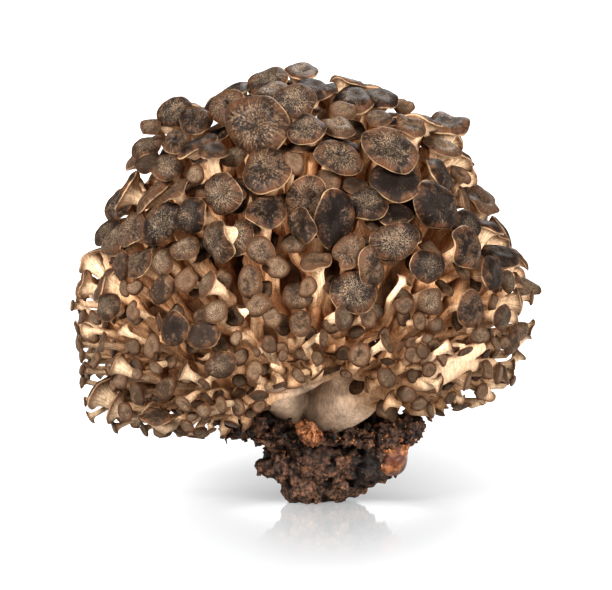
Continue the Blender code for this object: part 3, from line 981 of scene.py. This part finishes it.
def smooth_and_spongy(places):
    """Relief of the wood's corner: worn smooth below, eaten into holes above."""
    upper = np.clip((places[:, 2] - 34 * MM) / (10 * MM), 0, 1)
    worn = MM * (1.0 * bumps(places, 16 * MM, 8) + 0.35 * bumps(places, 5 * MM, 9))
    return worn + upper * spongy(places)


def shape_lumps(lumps, relief, blend, grain):
    """A rough closed form of joined lumps, cut flat where it stands."""
    lumps = MM * np.array(lumps)
    low = (lumps[:, 0] - lumps[:, 1]).min(0) - 12 * MM
    high = (lumps[:, 0] + lumps[:, 1]).max(0) + 12 * MM
    clay = Clay(low, high, grain, blend)
    for centre, half in lumps:
        clay.add_lump(centre, half)
    depth = clay.roughened(relief, 12 * MM)
    heights = clay.low[2] + grain * np.arange(depth.shape[2])
    return largest_part(*clay.skin(np.maximum(depth, -heights[None, None, :])))


def largest_part(points, faces):
    """Only the biggest connected part of a mesh."""
    sides = [np.stack([block, np.roll(block, 1, axis=1)], -1).reshape(-1, 2) for block in faces]
    first, second = np.concatenate(sides).T
    part = np.arange(len(points))
    while True:
        least = np.minimum(part[first], part[second])
        joined = part.copy()
        np.minimum.at(joined, part[first], least)
        np.minimum.at(joined, part[second], least)
        joined = joined[joined]
        if (joined == part).all():
            break
        part = joined
    keep = part == np.bincount(part).argmax()
    number = np.cumsum(keep) - 1
    return points[keep], [number[block[keep[block[:, 0]]]] for block in faces]


def scatter_crumbs(rng, anchors, sizes):
    """Small chips and splinters stuck on at these places, as points, faces and their tones."""
    corners = np.array(list(np.ndindex(2, 2, 2)), float) - 0.5
    number = len(anchors)
    shape = corners * rng.uniform(0.35, 1.0, (number, 1, 3)) * sizes[:, None, None]
    shape = shape + rng.normal(0, 0.12, (number, 8, 3)) * sizes[:, None, None]
    along = unit(rng.normal(0, 1, (number, 3)))
    side = unit(np.cross(along, rng.normal(0, 1, (number, 3))))
    axes = np.stack([along * rng.uniform(0.9, 2.4, (number, 1)), side, np.cross(along, side)], 1)
    points = anchors[:, None] + shape @ axes
    box = np.array([(0, 1, 3, 2), (4, 6, 7, 5), (0, 4, 5, 1), (2, 3, 7, 6), (0, 2, 6, 4), (1, 5, 7, 3)])
    faces = (np.arange(number)[:, None, None] * 8 + box[None]).reshape(-1, 4)
    tone = np.repeat(rng.uniform(0, 1, number), 8)
    points[..., 2] = np.maximum(points[..., 2], 0.3 * MM)
    return points.reshape(-1, 3), [faces], tone


# ---- materials

WHITE = (1.0, 1.0, 1.0)
BLACK = (0.0, 0.0, 0.0)
SOCKETS = {
    "colour": "Base Color",
    "roughness": "Roughness",
    "specular": "Specular IOR Level",
    "normal": "Normal",
    "emission": "Emission Color",
    "strength": "Emission Strength",
}


class Recipe:
    """Short calls for building a material's nodes."""

    def __init__(self, name):
        self.material = bpy.data.materials.new(name)
        self.material.use_nodes = True
        self.tree = self.material.node_tree

    def feed(self, socket, value):
        """Links a socket to another, or sets it to a constant."""
        if isinstance(value, bpy.types.NodeSocket):
            self.tree.links.new(value, socket)
        elif socket.type == "RGBA" and len(value) == 3:
            socket.default_value = (*value, 1.0)
        else:
            socket.default_value = value

    def node(self, kind, inputs=(), **settings):
        """A node with its settings made and its inputs fed, in order or by key."""
        made = self.tree.nodes.new("ShaderNode" + kind)
        for key, value in settings.items():
            setattr(made, key, value)
        for key, value in dict(inputs).items():
            self.feed(made.inputs[key], value)
        return made.outputs

    def attribute(self, name, output="Fac"):
        """The values painted on the mesh under this name."""
        return self.node("Attribute", attribute_name=name)[output]

    def place(self):
        """Where the surface lies, in the object's own space."""
        return self.node("TexCoord")["Object"]

    def math(self, operation, *values):
        """The result of arithmetic on numbers."""
        return self.node("Math", enumerate(values), operation=operation)[0]

    def times(self, first, second):
        """The product of two numbers."""
        return self.math("MULTIPLY", first, second)

    def swayed(self, base, value, amount):
        """The base, raised where the value is over a half and lowered where it is under."""
        return self.math("MULTIPLY_ADD", self.math("SUBTRACT", value, 0.5), amount, base)

    def vector(self, operation, *values):
        """The result of arithmetic on vectors."""
        output = "Value" if operation == "LENGTH" else "Vector"
        return self.node("VectorMath", enumerate(values), operation=operation)[output]

    def split(self, vector):
        """The three numbers of a vector."""
        return self.node("SeparateXYZ", {0: vector})

    def joined(self, *values):
        """A vector made of three numbers."""
        return self.node("CombineXYZ", enumerate(values))[0]

    def noise(self, vector, scale, detail=3.0, roughness=0.55):
        """Soft random numbers from 0 to 1."""
        inputs = {"Vector": vector, "Scale": scale, "Detail": detail, "Roughness": roughness}
        return self.node("TexNoise", inputs)["Fac"]

    def ramp(self, value, low, high, start=0.0, end=1.0):
        """Goes smoothly from start to end while the value goes from low to high."""
        inputs = {"Value": value, "From Min": low, "From Max": high, "To Min": start, "To Max": end}
        return self.node("MapRange", inputs, interpolation_type="SMOOTHSTEP")["Result"]

    def mix(self, factor, first, second, blend="MIX"):
        """The first colour at 0 and the second at 1."""
        inputs = {0: factor, 6: first, 7: second}
        return self.node("Mix", inputs, data_type="RGBA", blend_type=blend)[2]

    def shaded(self, colour, shade):
        """A colour made darker or brighter by a number."""
        grey = self.node("CombineColor", enumerate([shade] * 3))[0]
        return self.mix(1.0, colour, grey, "MULTIPLY")

    def bump(self, height, distance, strength=1.0):
        """Normals that follow a height from 0 to 1."""
        return self.node("Bump", {"Height": height, "Distance": distance, "Strength": strength})[0]

    def surface(self, **values):
        """The material, with the shader's sockets fed by their names in short."""
        shader = self.tree.nodes["Principled BSDF"]
        for key, value in values.items():
            self.feed(shader.inputs[SOCKETS[key]], value)
        return self.material


def scaled_colour(colour, factor):
    """A colour with its channels scaled, none over 1."""
    return tuple(min(channel * factor, 1.0) for channel in colour)


def flesh_colour(mix, finish):
    """Pale flesh, with painted shade deep inside and painted light high up, and the faint fibres that
    run along it.
    """
    place = mix.place()
    streaks = mix.noise(mix.vector("MULTIPLY", place, (1.0, 1.0, 0.25)), 700, 3)
    # painted shade: warm amber a little way in, then dark deep between the branches
    shade_amount = mix.swayed(mix.attribute("deep"), mix.noise(place, 90, 3), 0.28)
    colour = mix.mix(mix.ramp(shade_amount, 0.03, 0.42), finish.flesh, finish.amber_and_painted_shade)
    colour = mix.mix(mix.ramp(shade_amount, 0.42, 0.88), colour, finish.flesh_painted_shade)
    stains = mix.ramp(mix.noise(place, 240, 4, 0.7), 0.50, 0.70, 0.0, 0.62)
    colour = mix.mix(stains, colour, scaled_colour(finish.amber_and_painted_shade, 0.5))
    # painted light and shade: the flesh darker low down and paler higher up
    painted_light_by_height = mix.ramp(mix.split(place)[2], 90 * MM, 160 * MM, 0.76, 1.30)
    fibrous = mix.ramp(streaks, 0.3, 0.7, 0.76, 1.12)
    return mix.shaded(colour, mix.times(painted_light_by_height, fibrous)), streaks


def cap_material(finish):
    """Brown fibrous tops with pale flecks, a thin pale margin, and pale flesh underneath."""
    mix = Recipe("polypore_cap")
    disc = mix.attribute("disc", "Vector")
    across, along, number = mix.split(disc)
    direction = mix.split(mix.vector("NORMALIZE", mix.joined(across, along)))
    out = mix.attribute("reach")
    shift = mix.times(number, 57.0)

    def radial(turns, outward):
        """Places for a noise that changes this fast around and outwards, for other caps elsewhere."""
        sides = [mix.times(direction[i], turns) for i in (0, 1)]
        return mix.joined(*sides, mix.math("MULTIPLY_ADD", out, outward, shift))

    ray = radial(6.0, 1.8)
    fibres = mix.noise(ray, 1.9, 3, 0.75)
    rays = mix.noise(ray, 0.7, 2, 0.5)
    mottle = mix.noise(mix.vector("ADD", disc, mix.joined(0.0, 0.0, shift)), 1.7, 3, 0.6)
    flecks = mix.noise(radial(7.0, 9.0), 1.7, 2, 0.6)
    grain = mix.noise(mix.place(), 520, 3, 0.6)
    tone, small, zone = (mix.attribute(name) for name in ("tone", "small", "zone"))

    light = 0.5
    for value, amount in ((mottle, 1.5), (tone, 0.50), (rays, 0.25), (grain, 0.9), (fibres, 0.5)):
        light = mix.swayed(light, value, amount)
    light = mix.math("ADD", light, mix.ramp(out, 0.30, 0.95, -0.07, 0.09))
    light = mix.math("MULTIPLY_ADD", small, 0.06, light)
    top = mix.mix(mix.ramp(light, 0.26, 0.72), finish.cap_dark, finish.cap_brown)
    warm = mix.times(mix.ramp(number, 0.85, 0.15), 0.16)
    top = mix.mix(mix.times(warm, mix.ramp(light, 0.35, 0.75)), top, finish.rust)
    streak = mix.times(mix.ramp(fibres, 0.50, 0.68), mix.ramp(light, 0.35, 0.75, 0.04, 0.30))
    top = mix.mix(streak, top, finish.cap_tan)
    top = mix.mix(mix.times(small, 0.15), top, scaled_colour(finish.amber_and_painted_shade, 0.55))
    centre = mix.times(mix.ramp(out, 0.20, 0.80, 0.30, 0.0), mix.ramp(number, 0.30, 0.85))
    grainy = mix.times(mix.ramp(out, 0.55, 0.98, 0.14, 0.0), mix.ramp(light, 0.30, 0.60))
    speck = mix.times(mix.ramp(flecks, 0.46, 0.64), mix.math("ADD", centre, grainy))
    top = mix.mix(speck, top, finish.cap_pale)
    crack = mix.times(mix.ramp(rays, 0.40, 0.30), mix.ramp(out, 0.15, 0.55, 0.40, 0.0))
    top = mix.mix(mix.times(crack, mix.ramp(number, 0.1, 0.6)), top, finish.cap_dark)
    brim = mix.times(mix.ramp(out, 0.64, 0.92), mix.ramp(mottle, 0.42, 0.64, 0.05, 0.46))
    top = mix.mix(brim, top, finish.rust)
    rim = mix.times(mix.ramp(out, 0.66, 1.0), mix.times(small, 0.75))
    top = mix.mix(rim, top, scaled_colour(finish.rust, 0.35))

    # the undersides take the flesh's painted shade and painted light
    under, _ = flesh_colour(mix, finish)
    ribs = mix.noise(radial(8.0, 1.2), 1.0, 2, 0.6)
    under = mix.shaded(under, mix.ramp(ribs, 0.36, 0.62, 0.70, 1.06))
    colour = mix.mix(mix.ramp(zone, 0.30, 0.70), under, top)
    stain = mix.times(mix.ramp(out, 0.62, 1.0), mix.ramp(zone, 0.6, 0.2))
    colour = mix.mix(mix.times(stain, 0.75), colour, finish.rust)
    edge = mix.mix(small, finish.margin, scaled_colour(finish.rust, 0.45))
    line = mix.times(mix.ramp(zone, 0.25, 0.75), mix.ramp(out, 0.965, 1.0))
    line = mix.times(line, mix.ramp(mottle, 0.35, 0.60, 0.15, 0.60))
    height = mix.math("MULTIPLY_ADD", flecks, 0.4, mix.times(fibres, 0.7))
    return mix.surface(
        colour=mix.mix(line, colour, edge),
        roughness=mix.ramp(zone, 0, 1, 0.60, 0.48),
        specular=0.12,
        normal=mix.bump(height, 0.5 * MM, 0.9),
    )


def flesh_material(finish):
    """The branches' flesh, turning to the trunk's greyish skin low down."""
    mix = Recipe("polypore_flesh")
    colour, streaks = flesh_colour(mix, finish)
    blotches = mix.noise(mix.place(), 70, 6, 0.75)
    skin = mix.mix(mix.ramp(blotches, 0.3, 0.7), scaled_colour(finish.trunk, 0.55), finish.trunk)
    # painted shade: the skin darkened in the fold between the trunk's lobes
    fold = mix.ramp(mix.attribute("cleft"), 0.0, 1.0, 0.0, 0.55)
    skin = mix.mix(fold, skin, scaled_colour(finish.trunk, 0.25))
    skin = mix.shaded(skin, mix.ramp(streaks, 0.32, 0.68, 0.80, 1.10))
    colour = mix.mix(mix.attribute("trunk"), colour, skin)
    normal = mix.bump(streaks, 0.6 * MM, 0.8)
    return mix.surface(colour=colour, roughness=0.55, specular=0.35, normal=normal)


def soil_material(finish):
    """Dark crust, mid brown on its lumps and black in its hollows as painted shade, rusty here and
    there.
    """
    mix = Recipe("clod_soil")
    place = mix.place()
    patches = mix.noise(place, 55, 4, 0.6)
    crumbs = mix.noise(place, 420, 4, 0.7)
    # painted shade: black in the hollows, brown on the lumps
    raised = mix.math("MULTIPLY_ADD", mix.attribute("crest"), -0.55, patches)
    brown = mix.mix(mix.ramp(raised, 0.36, 0.92), finish.soil, finish.bark)
    rust = mix.mix(mix.ramp(patches, 0.58, 0.74, 0.0, 0.5), brown, scaled_colour(finish.wood, 0.5))
    colour = mix.shaded(rust, mix.ramp(crumbs, 0.36, 0.68, 0.18, 2.6))
    return mix.surface(colour=colour, roughness=0.7, normal=mix.bump(crumbs, 0.9 * MM))


def wood_material(finish, name):
    """Warm orange-brown wood, darker in its holes."""
    mix = Recipe(name)
    place = mix.place()
    crumbs = mix.noise(place, 600, 3, 0.7)
    upper = mix.ramp(mix.split(place)[2], 30 * MM, 44 * MM)
    patches = mix.math("SUBTRACT", mix.noise(place, 120, 4), 0.06)
    pale = mix.math("MULTIPLY_ADD", upper, 0.12, patches)
    colour = mix.mix(mix.ramp(pale, 0.40, 0.62), finish.red_wood, finish.wood)
    colour = mix.mix(mix.ramp(pale, 0.66, 0.82, 0.0, 0.7), colour, finish.wood_pale)
    low = mix.math("MULTIPLY_ADD", upper, -0.45, 0.78)
    colour = mix.shaded(colour, mix.ramp(crumbs, 0.34, 0.66, low, 1.35))
    rough = mix.ramp(upper, 0, 1, 0.34, 0.65)
    return mix.surface(colour=colour, roughness=rough, normal=mix.bump(crumbs, 0.5 * MM, 0.8))


def crumb_material(finish):
    """Chips of all the clod's colours, by each chip's tone."""
    mix = Recipe("crumb_mix")
    tone = mix.attribute("tone")
    colour = mix.mix(mix.ramp(tone, 0.15, 0.50), finish.soil, finish.bark)
    colour = mix.mix(mix.ramp(tone, 0.60, 0.85), colour, finish.wood)
    colour = mix.mix(mix.ramp(tone, 0.93, 1.0, 0.0, 0.8), colour, finish.wood_pale)
    speckle = mix.ramp(mix.noise(mix.place(), 900, 2), 0.3, 0.7, 0.6, 1.3)
    return mix.surface(colour=mix.shaded(colour, speckle), roughness=0.6)


# ---- operators

SUNS = (  # name, where it shines from, strength as a share of the key light
    ("key", (-0.75, -1.0, 0.75), 1.0),
    ("fill", (0.8, -1.0, 0.28), 0.98),
    ("back", (0.3, 1.0, 1.0), 0.40),
)
SECTORS = 12
WEDGES = 8
BANDS = (("rim", 0.0, 0.095), ("shoulder", 0.095, 0.205), ("crown", 0.205, 1.0))


def section_of(places):
    """The number of the band and sector that each place lies in."""
    sector = ((np.arctan2(places[:, 1], places[:, 0]) / (2 * np.pi)) % 1 * SECTORS).astype(int)
    band = np.zeros(len(places), int)
    for i, (_, low, high) in enumerate(BANDS):
        band[(places[:, 2] >= low) & (places[:, 2] < high)] = i
    return band, np.minimum(sector, SECTORS - 1)


class POLYPORE_OT_caps(bpy.types.Operator):
    """Grow the stalked caps all over the dome"""

    bl_idname = "polypore.caps"
    bl_label = "Stalked Caps"

    def execute(self, context):
        shape = context.scene.polypore_shape
        tree = plan_branches(shape.seed, shape.crowding, shape.stalk)
        twigs = tree[0]
        joints = twigs["joints"][twigs["group"]]
        caps = {
            **plan_caps(shape.seed, shape.crowding),
            "feet": joints + 0.25 * (twigs["ends"] - joints),
            "leads": np.array([tangent_home(tree, 0, joint) for joint in twigs["group"]]),
        }
        material = cap_material(context.scene.polypore_finish)
        band, sector = section_of(caps["place"])
        for i, (band_name, _, _) in enumerate(BANDS):
            for s in range(SECTORS):
                here = (band == i) & (sector == s)
                self.grow(caps, here, f"caps_{band_name}_{s + 1}", shape.stalk, material)
        return {"FINISHED"}

    def grow(self, caps, here, name, stalk, material):
        """Makes one piece of the caps that are here, the large ones finer than the small."""
        groups, most = [], 1.0
        for grade in CAP_GRADES:
            chosen = here & (caps["radius"] >= grade[0]) & (caps["radius"] < most)
            most = grade[0]
            if chosen.any():
                some = {key: value[chosen] for key, value in caps.items()}
                groups.append(grow_stalked_caps(some, stalk, grade))
        if not groups:
            return
        points, faces, painted = zip(*groups)
        starts = np.cumsum([0] + [len(group) for group in points])
        faces = [block + start for start, blocks in zip(starts, faces) for block in blocks]
        points = np.concatenate(points)
        values = {key: np.concatenate([made[key] for made in painted]) for key in painted[0]}
        # painted shade: how deep inside the dome each point lies
        values["deep"] = painted_shade_depth(points)
        new_piece(name, points, faces, values, "cap_skin", "fruiting_body", material)


class POLYPORE_OT_branches(bpy.types.Operator):
    """Shape the trunk and the branches that carry the caps"""

    bl_idname = "polypore.branches"
    bl_label = "Trunk and Branches"

    def execute(self, context):
        shape = context.scene.polypore_shape
        clay = shape_branches(shape)
        depth = clay.depth()
        material = flesh_material(context.scene.polypore_finish)
        regions = {"trunk": TrunkBox()}
        turn = 2 * math.pi / WEDGES
        for i in range(WEDGES):
            regions[f"branches_{i + 1}"] = Wedge(i * turn, (i + 1) * turn, 0.3 * MM)
        for name, region in regions.items():
            points, faces = thinned(*clay.skin(depth, region), shape.detail)
            # deep and cleft carry painted shade into the flesh's colour
            values = {
                "deep": painted_shade_depth(points),
                "trunk": trunk_share(points),
                "cleft": painted_cleft_shade(points),
            }
            look = ("mushroom_flesh", "fruiting_body", material)
            new_piece(name, points, faces, values, *look, math.radians(60))
        return {"FINISHED"}


class POLYPORE_OT_clod(bpy.types.Operator):
    """Heap up the clod of soil and bark, with crumbs stuck to it"""

    bl_idname = "polypore.clod"
    bl_label = "Clod"

    def execute(self, context):
        finish = context.scene.polypore_finish
        points, faces = shape_lumps(CLOD_LUMPS, craggy, 3 * MM, CLOD_GRAIN)
        # crest: the relief, which the soil's finish turns into painted shade in the hollows
        values = {"crest": craggy(points) / (6 * MM)}
        soil = soil_material(finish)
        new_piece("clod", points, faces, values, "soil_crust", "root_clod", soil)
        rng = np.random.default_rng(context.scene.polypore_shape.seed)
        anchors = []
        for lowest, number in CRUMBS:
            above = points[points[:, 2] > lowest]
            anchors.append(above[rng.choice(len(above), number)])
        anchors = np.concatenate(anchors)
        sizes = MM * rng.uniform(0.7, 2.3, len(anchors))
        woody = np.zeros(len(anchors))
        for middle, reach in WOODY_SPOTS:
            apart = np.linalg.norm(anchors - MM * np.array(middle), axis=1)
            woody = np.maximum(woody, np.exp(-((apart / (MM * reach)) ** 2)))
        points, faces, tone = scatter_crumbs(rng, anchors, sizes)
        values = {"tone": np.clip(0.92 * tone + 0.35 * np.repeat(woody, 8) - 0.10, 0, 1)}
        look = ("soil_crust", "root_clod", crumb_material(finish))
        new_piece("clod_crumbs", points, faces, values, *look, 0.5)
        return {"FINISHED"}


class POLYPORE_OT_rotten_wood(bpy.types.Operator):
    """Stick the pieces of rotten wood to the clod"""

    bl_idname = "polypore.rotten_wood"
    bl_label = "Rotten Wood"

    def execute(self, context):
        finish = context.scene.polypore_finish
        pieces = (
            ("wood_corner", WOOD_CORNER_LUMPS, smooth_and_spongy, "rotten_wood_right"),
            ("wood_crumb", WOOD_CRUMB_LUMPS, spongy, "rotten_wood_front"),
        )
        for name, lumps, relief, node in pieces:
            points, faces = shape_lumps(lumps, relief, 2 * MM, 0.7 * MM)
            material = wood_material(finish, name + "_finish")
            new_piece(name, points, faces, {}, "rotten_wood", node, material)
        return {"FINISHED"}


def floor_material(stage):
    """A floor that is shiny in front of the clod, with a painted shadow round it, and glows white
    further out.
    """
    mix = Recipe("studio_floor")
    beside = mix.vector("SUBTRACT", mix.place(), (21 * MM, 0.0, 0.0))
    away = mix.vector("LENGTH", mix.vector("MULTIPLY", beside, (3.5, 1.0, 1.0)))
    front = mix.ramp(mix.split(beside)[1], 60 * MM, -60 * MM)
    gloss = mix.math("POWER", mix.times(mix.ramp(away, 0.46, 0.05), front), 8.0)
    # painted shadow: the floor glows less the closer it is to the clod
    away = mix.vector("LENGTH", mix.vector("MULTIPLY", beside, (3.6, 1.35, 1.0)))
    shadowed_glow = mix.math("MINIMUM", mix.math("MULTIPLY_ADD", away, 0.75, stage.shadowed_glow), 1.0)
    return mix.surface(
        colour=stage.floor, roughness=0.06, specular=gloss, emission=WHITE, strength=shadowed_glow
    )


class POLYPORE_OT_stage(bpy.types.Operator):
    """Lay the floor and set the lights and the camera"""

    bl_idname = "polypore.stage"
    bl_label = "Stage"

    def execute(self, context):
        scene = context.scene
        stage = scene.polypore_stage
        bpy.ops.mesh.primitive_plane_add(size=44)
        floor = bpy.context.object
        floor.name = "floor"
        floor.data.materials.append(floor_material(stage))
        bpy.ops.mesh.primitive_cylinder_add(
            vertices=128, radius=18, depth=6, end_fill_type="NOTHING"
        )
        backdrop = bpy.context.object
        backdrop.name = "backdrop"
        glowing = Recipe("studio_backdrop").surface(colour=BLACK, emission=WHITE, strength=1.05)
        backdrop.data.materials.append(glowing)
        for name, place, strength in SUNS:
            self.add_sun(scene, name, Vector(place), stage.key_light * strength)
        scene.world = bpy.data.worlds.new("studio")
        scene.world.use_nodes = True
        background = scene.world.node_tree.nodes["Background"].inputs
        background["Color"].default_value = (*WHITE, 1.0)
        background["Strength"].default_value = stage.sky
        scene.view_settings.view_transform = "Standard"
        scene.view_settings.look = "High Contrast"
        self.set_camera(scene)
        return {"FINISHED"}

    def add_sun(self, scene, name, place, strength):
        """Adds a soft light that shines from this side."""
        light = bpy.data.lights.new(name, "SUN")
        light.angle = math.radians(24)
        light.energy = strength
        lamp = bpy.data.objects.new(name, light)
        lamp.location = place
        lamp.rotation_euler = place.to_track_quat("Z", "Y").to_euler()
        scene.collection.objects.link(lamp)

    def set_camera(self, scene):
        """Places the camera at the eye, aimed at the cluster."""
        data = bpy.data.cameras.new("camera")
        camera = bpy.data.objects.new("camera", data)
        scene.collection.objects.link(camera)
        back = Vector((0, -math.cos(EYE_RISE), math.sin(EYE_RISE)))
        camera.location = AIM + back * EYE_DISTANCE
        camera.rotation_euler = (-back).to_track_quat("-Z", "Y").to_euler()
        data.sensor_width = SENSOR
        data.lens = SENSOR * EYE_DISTANCE / VIEW_WIDTH
        data.shift_x = VIEW_SHIFT
        scene.camera = camera


class POLYPORE_PT_panel(bpy.types.Panel):
    """Buttons for each piece of the cluster"""

    bl_idname = "POLYPORE_PT_panel"
    bl_label = "Polypore Cluster"
    bl_space_type = "VIEW_3D"
    bl_region_type = "UI"
    bl_category = "Polypore"

    def draw(self, context):
        for operator in OPERATORS:
            self.layout.operator(operator.bl_idname)


OPERATORS = (
    POLYPORE_OT_caps,
    POLYPORE_OT_branches,
    POLYPORE_OT_clod,
    POLYPORE_OT_rotten_wood,
    POLYPORE_OT_stage,
)
CLASSES = (PolyporeShape, PolyporeFinish, PolyporeStage, *OPERATORS, POLYPORE_PT_panel)


def register():
    for made in CLASSES:
        bpy.utils.register_class(made)
    bpy.types.Scene.polypore_shape = PointerProperty(type=PolyporeShape)
    bpy.types.Scene.polypore_finish = PointerProperty(type=PolyporeFinish)
    bpy.types.Scene.polypore_stage = PointerProperty(type=PolyporeStage)


def unregister():
    del bpy.types.Scene.polypore_shape
    del bpy.types.Scene.polypore_finish
    del bpy.types.Scene.polypore_stage
    for made in reversed(CLASSES):
        bpy.utils.unregister_class(made)


def main():
    register()
    bpy.ops.polypore.caps()
    bpy.ops.polypore.branches()
    bpy.ops.polypore.clod()
    bpy.ops.polypore.rotten_wood()
    bpy.ops.polypore.stage()


if __name__ == "__main__":
    main()
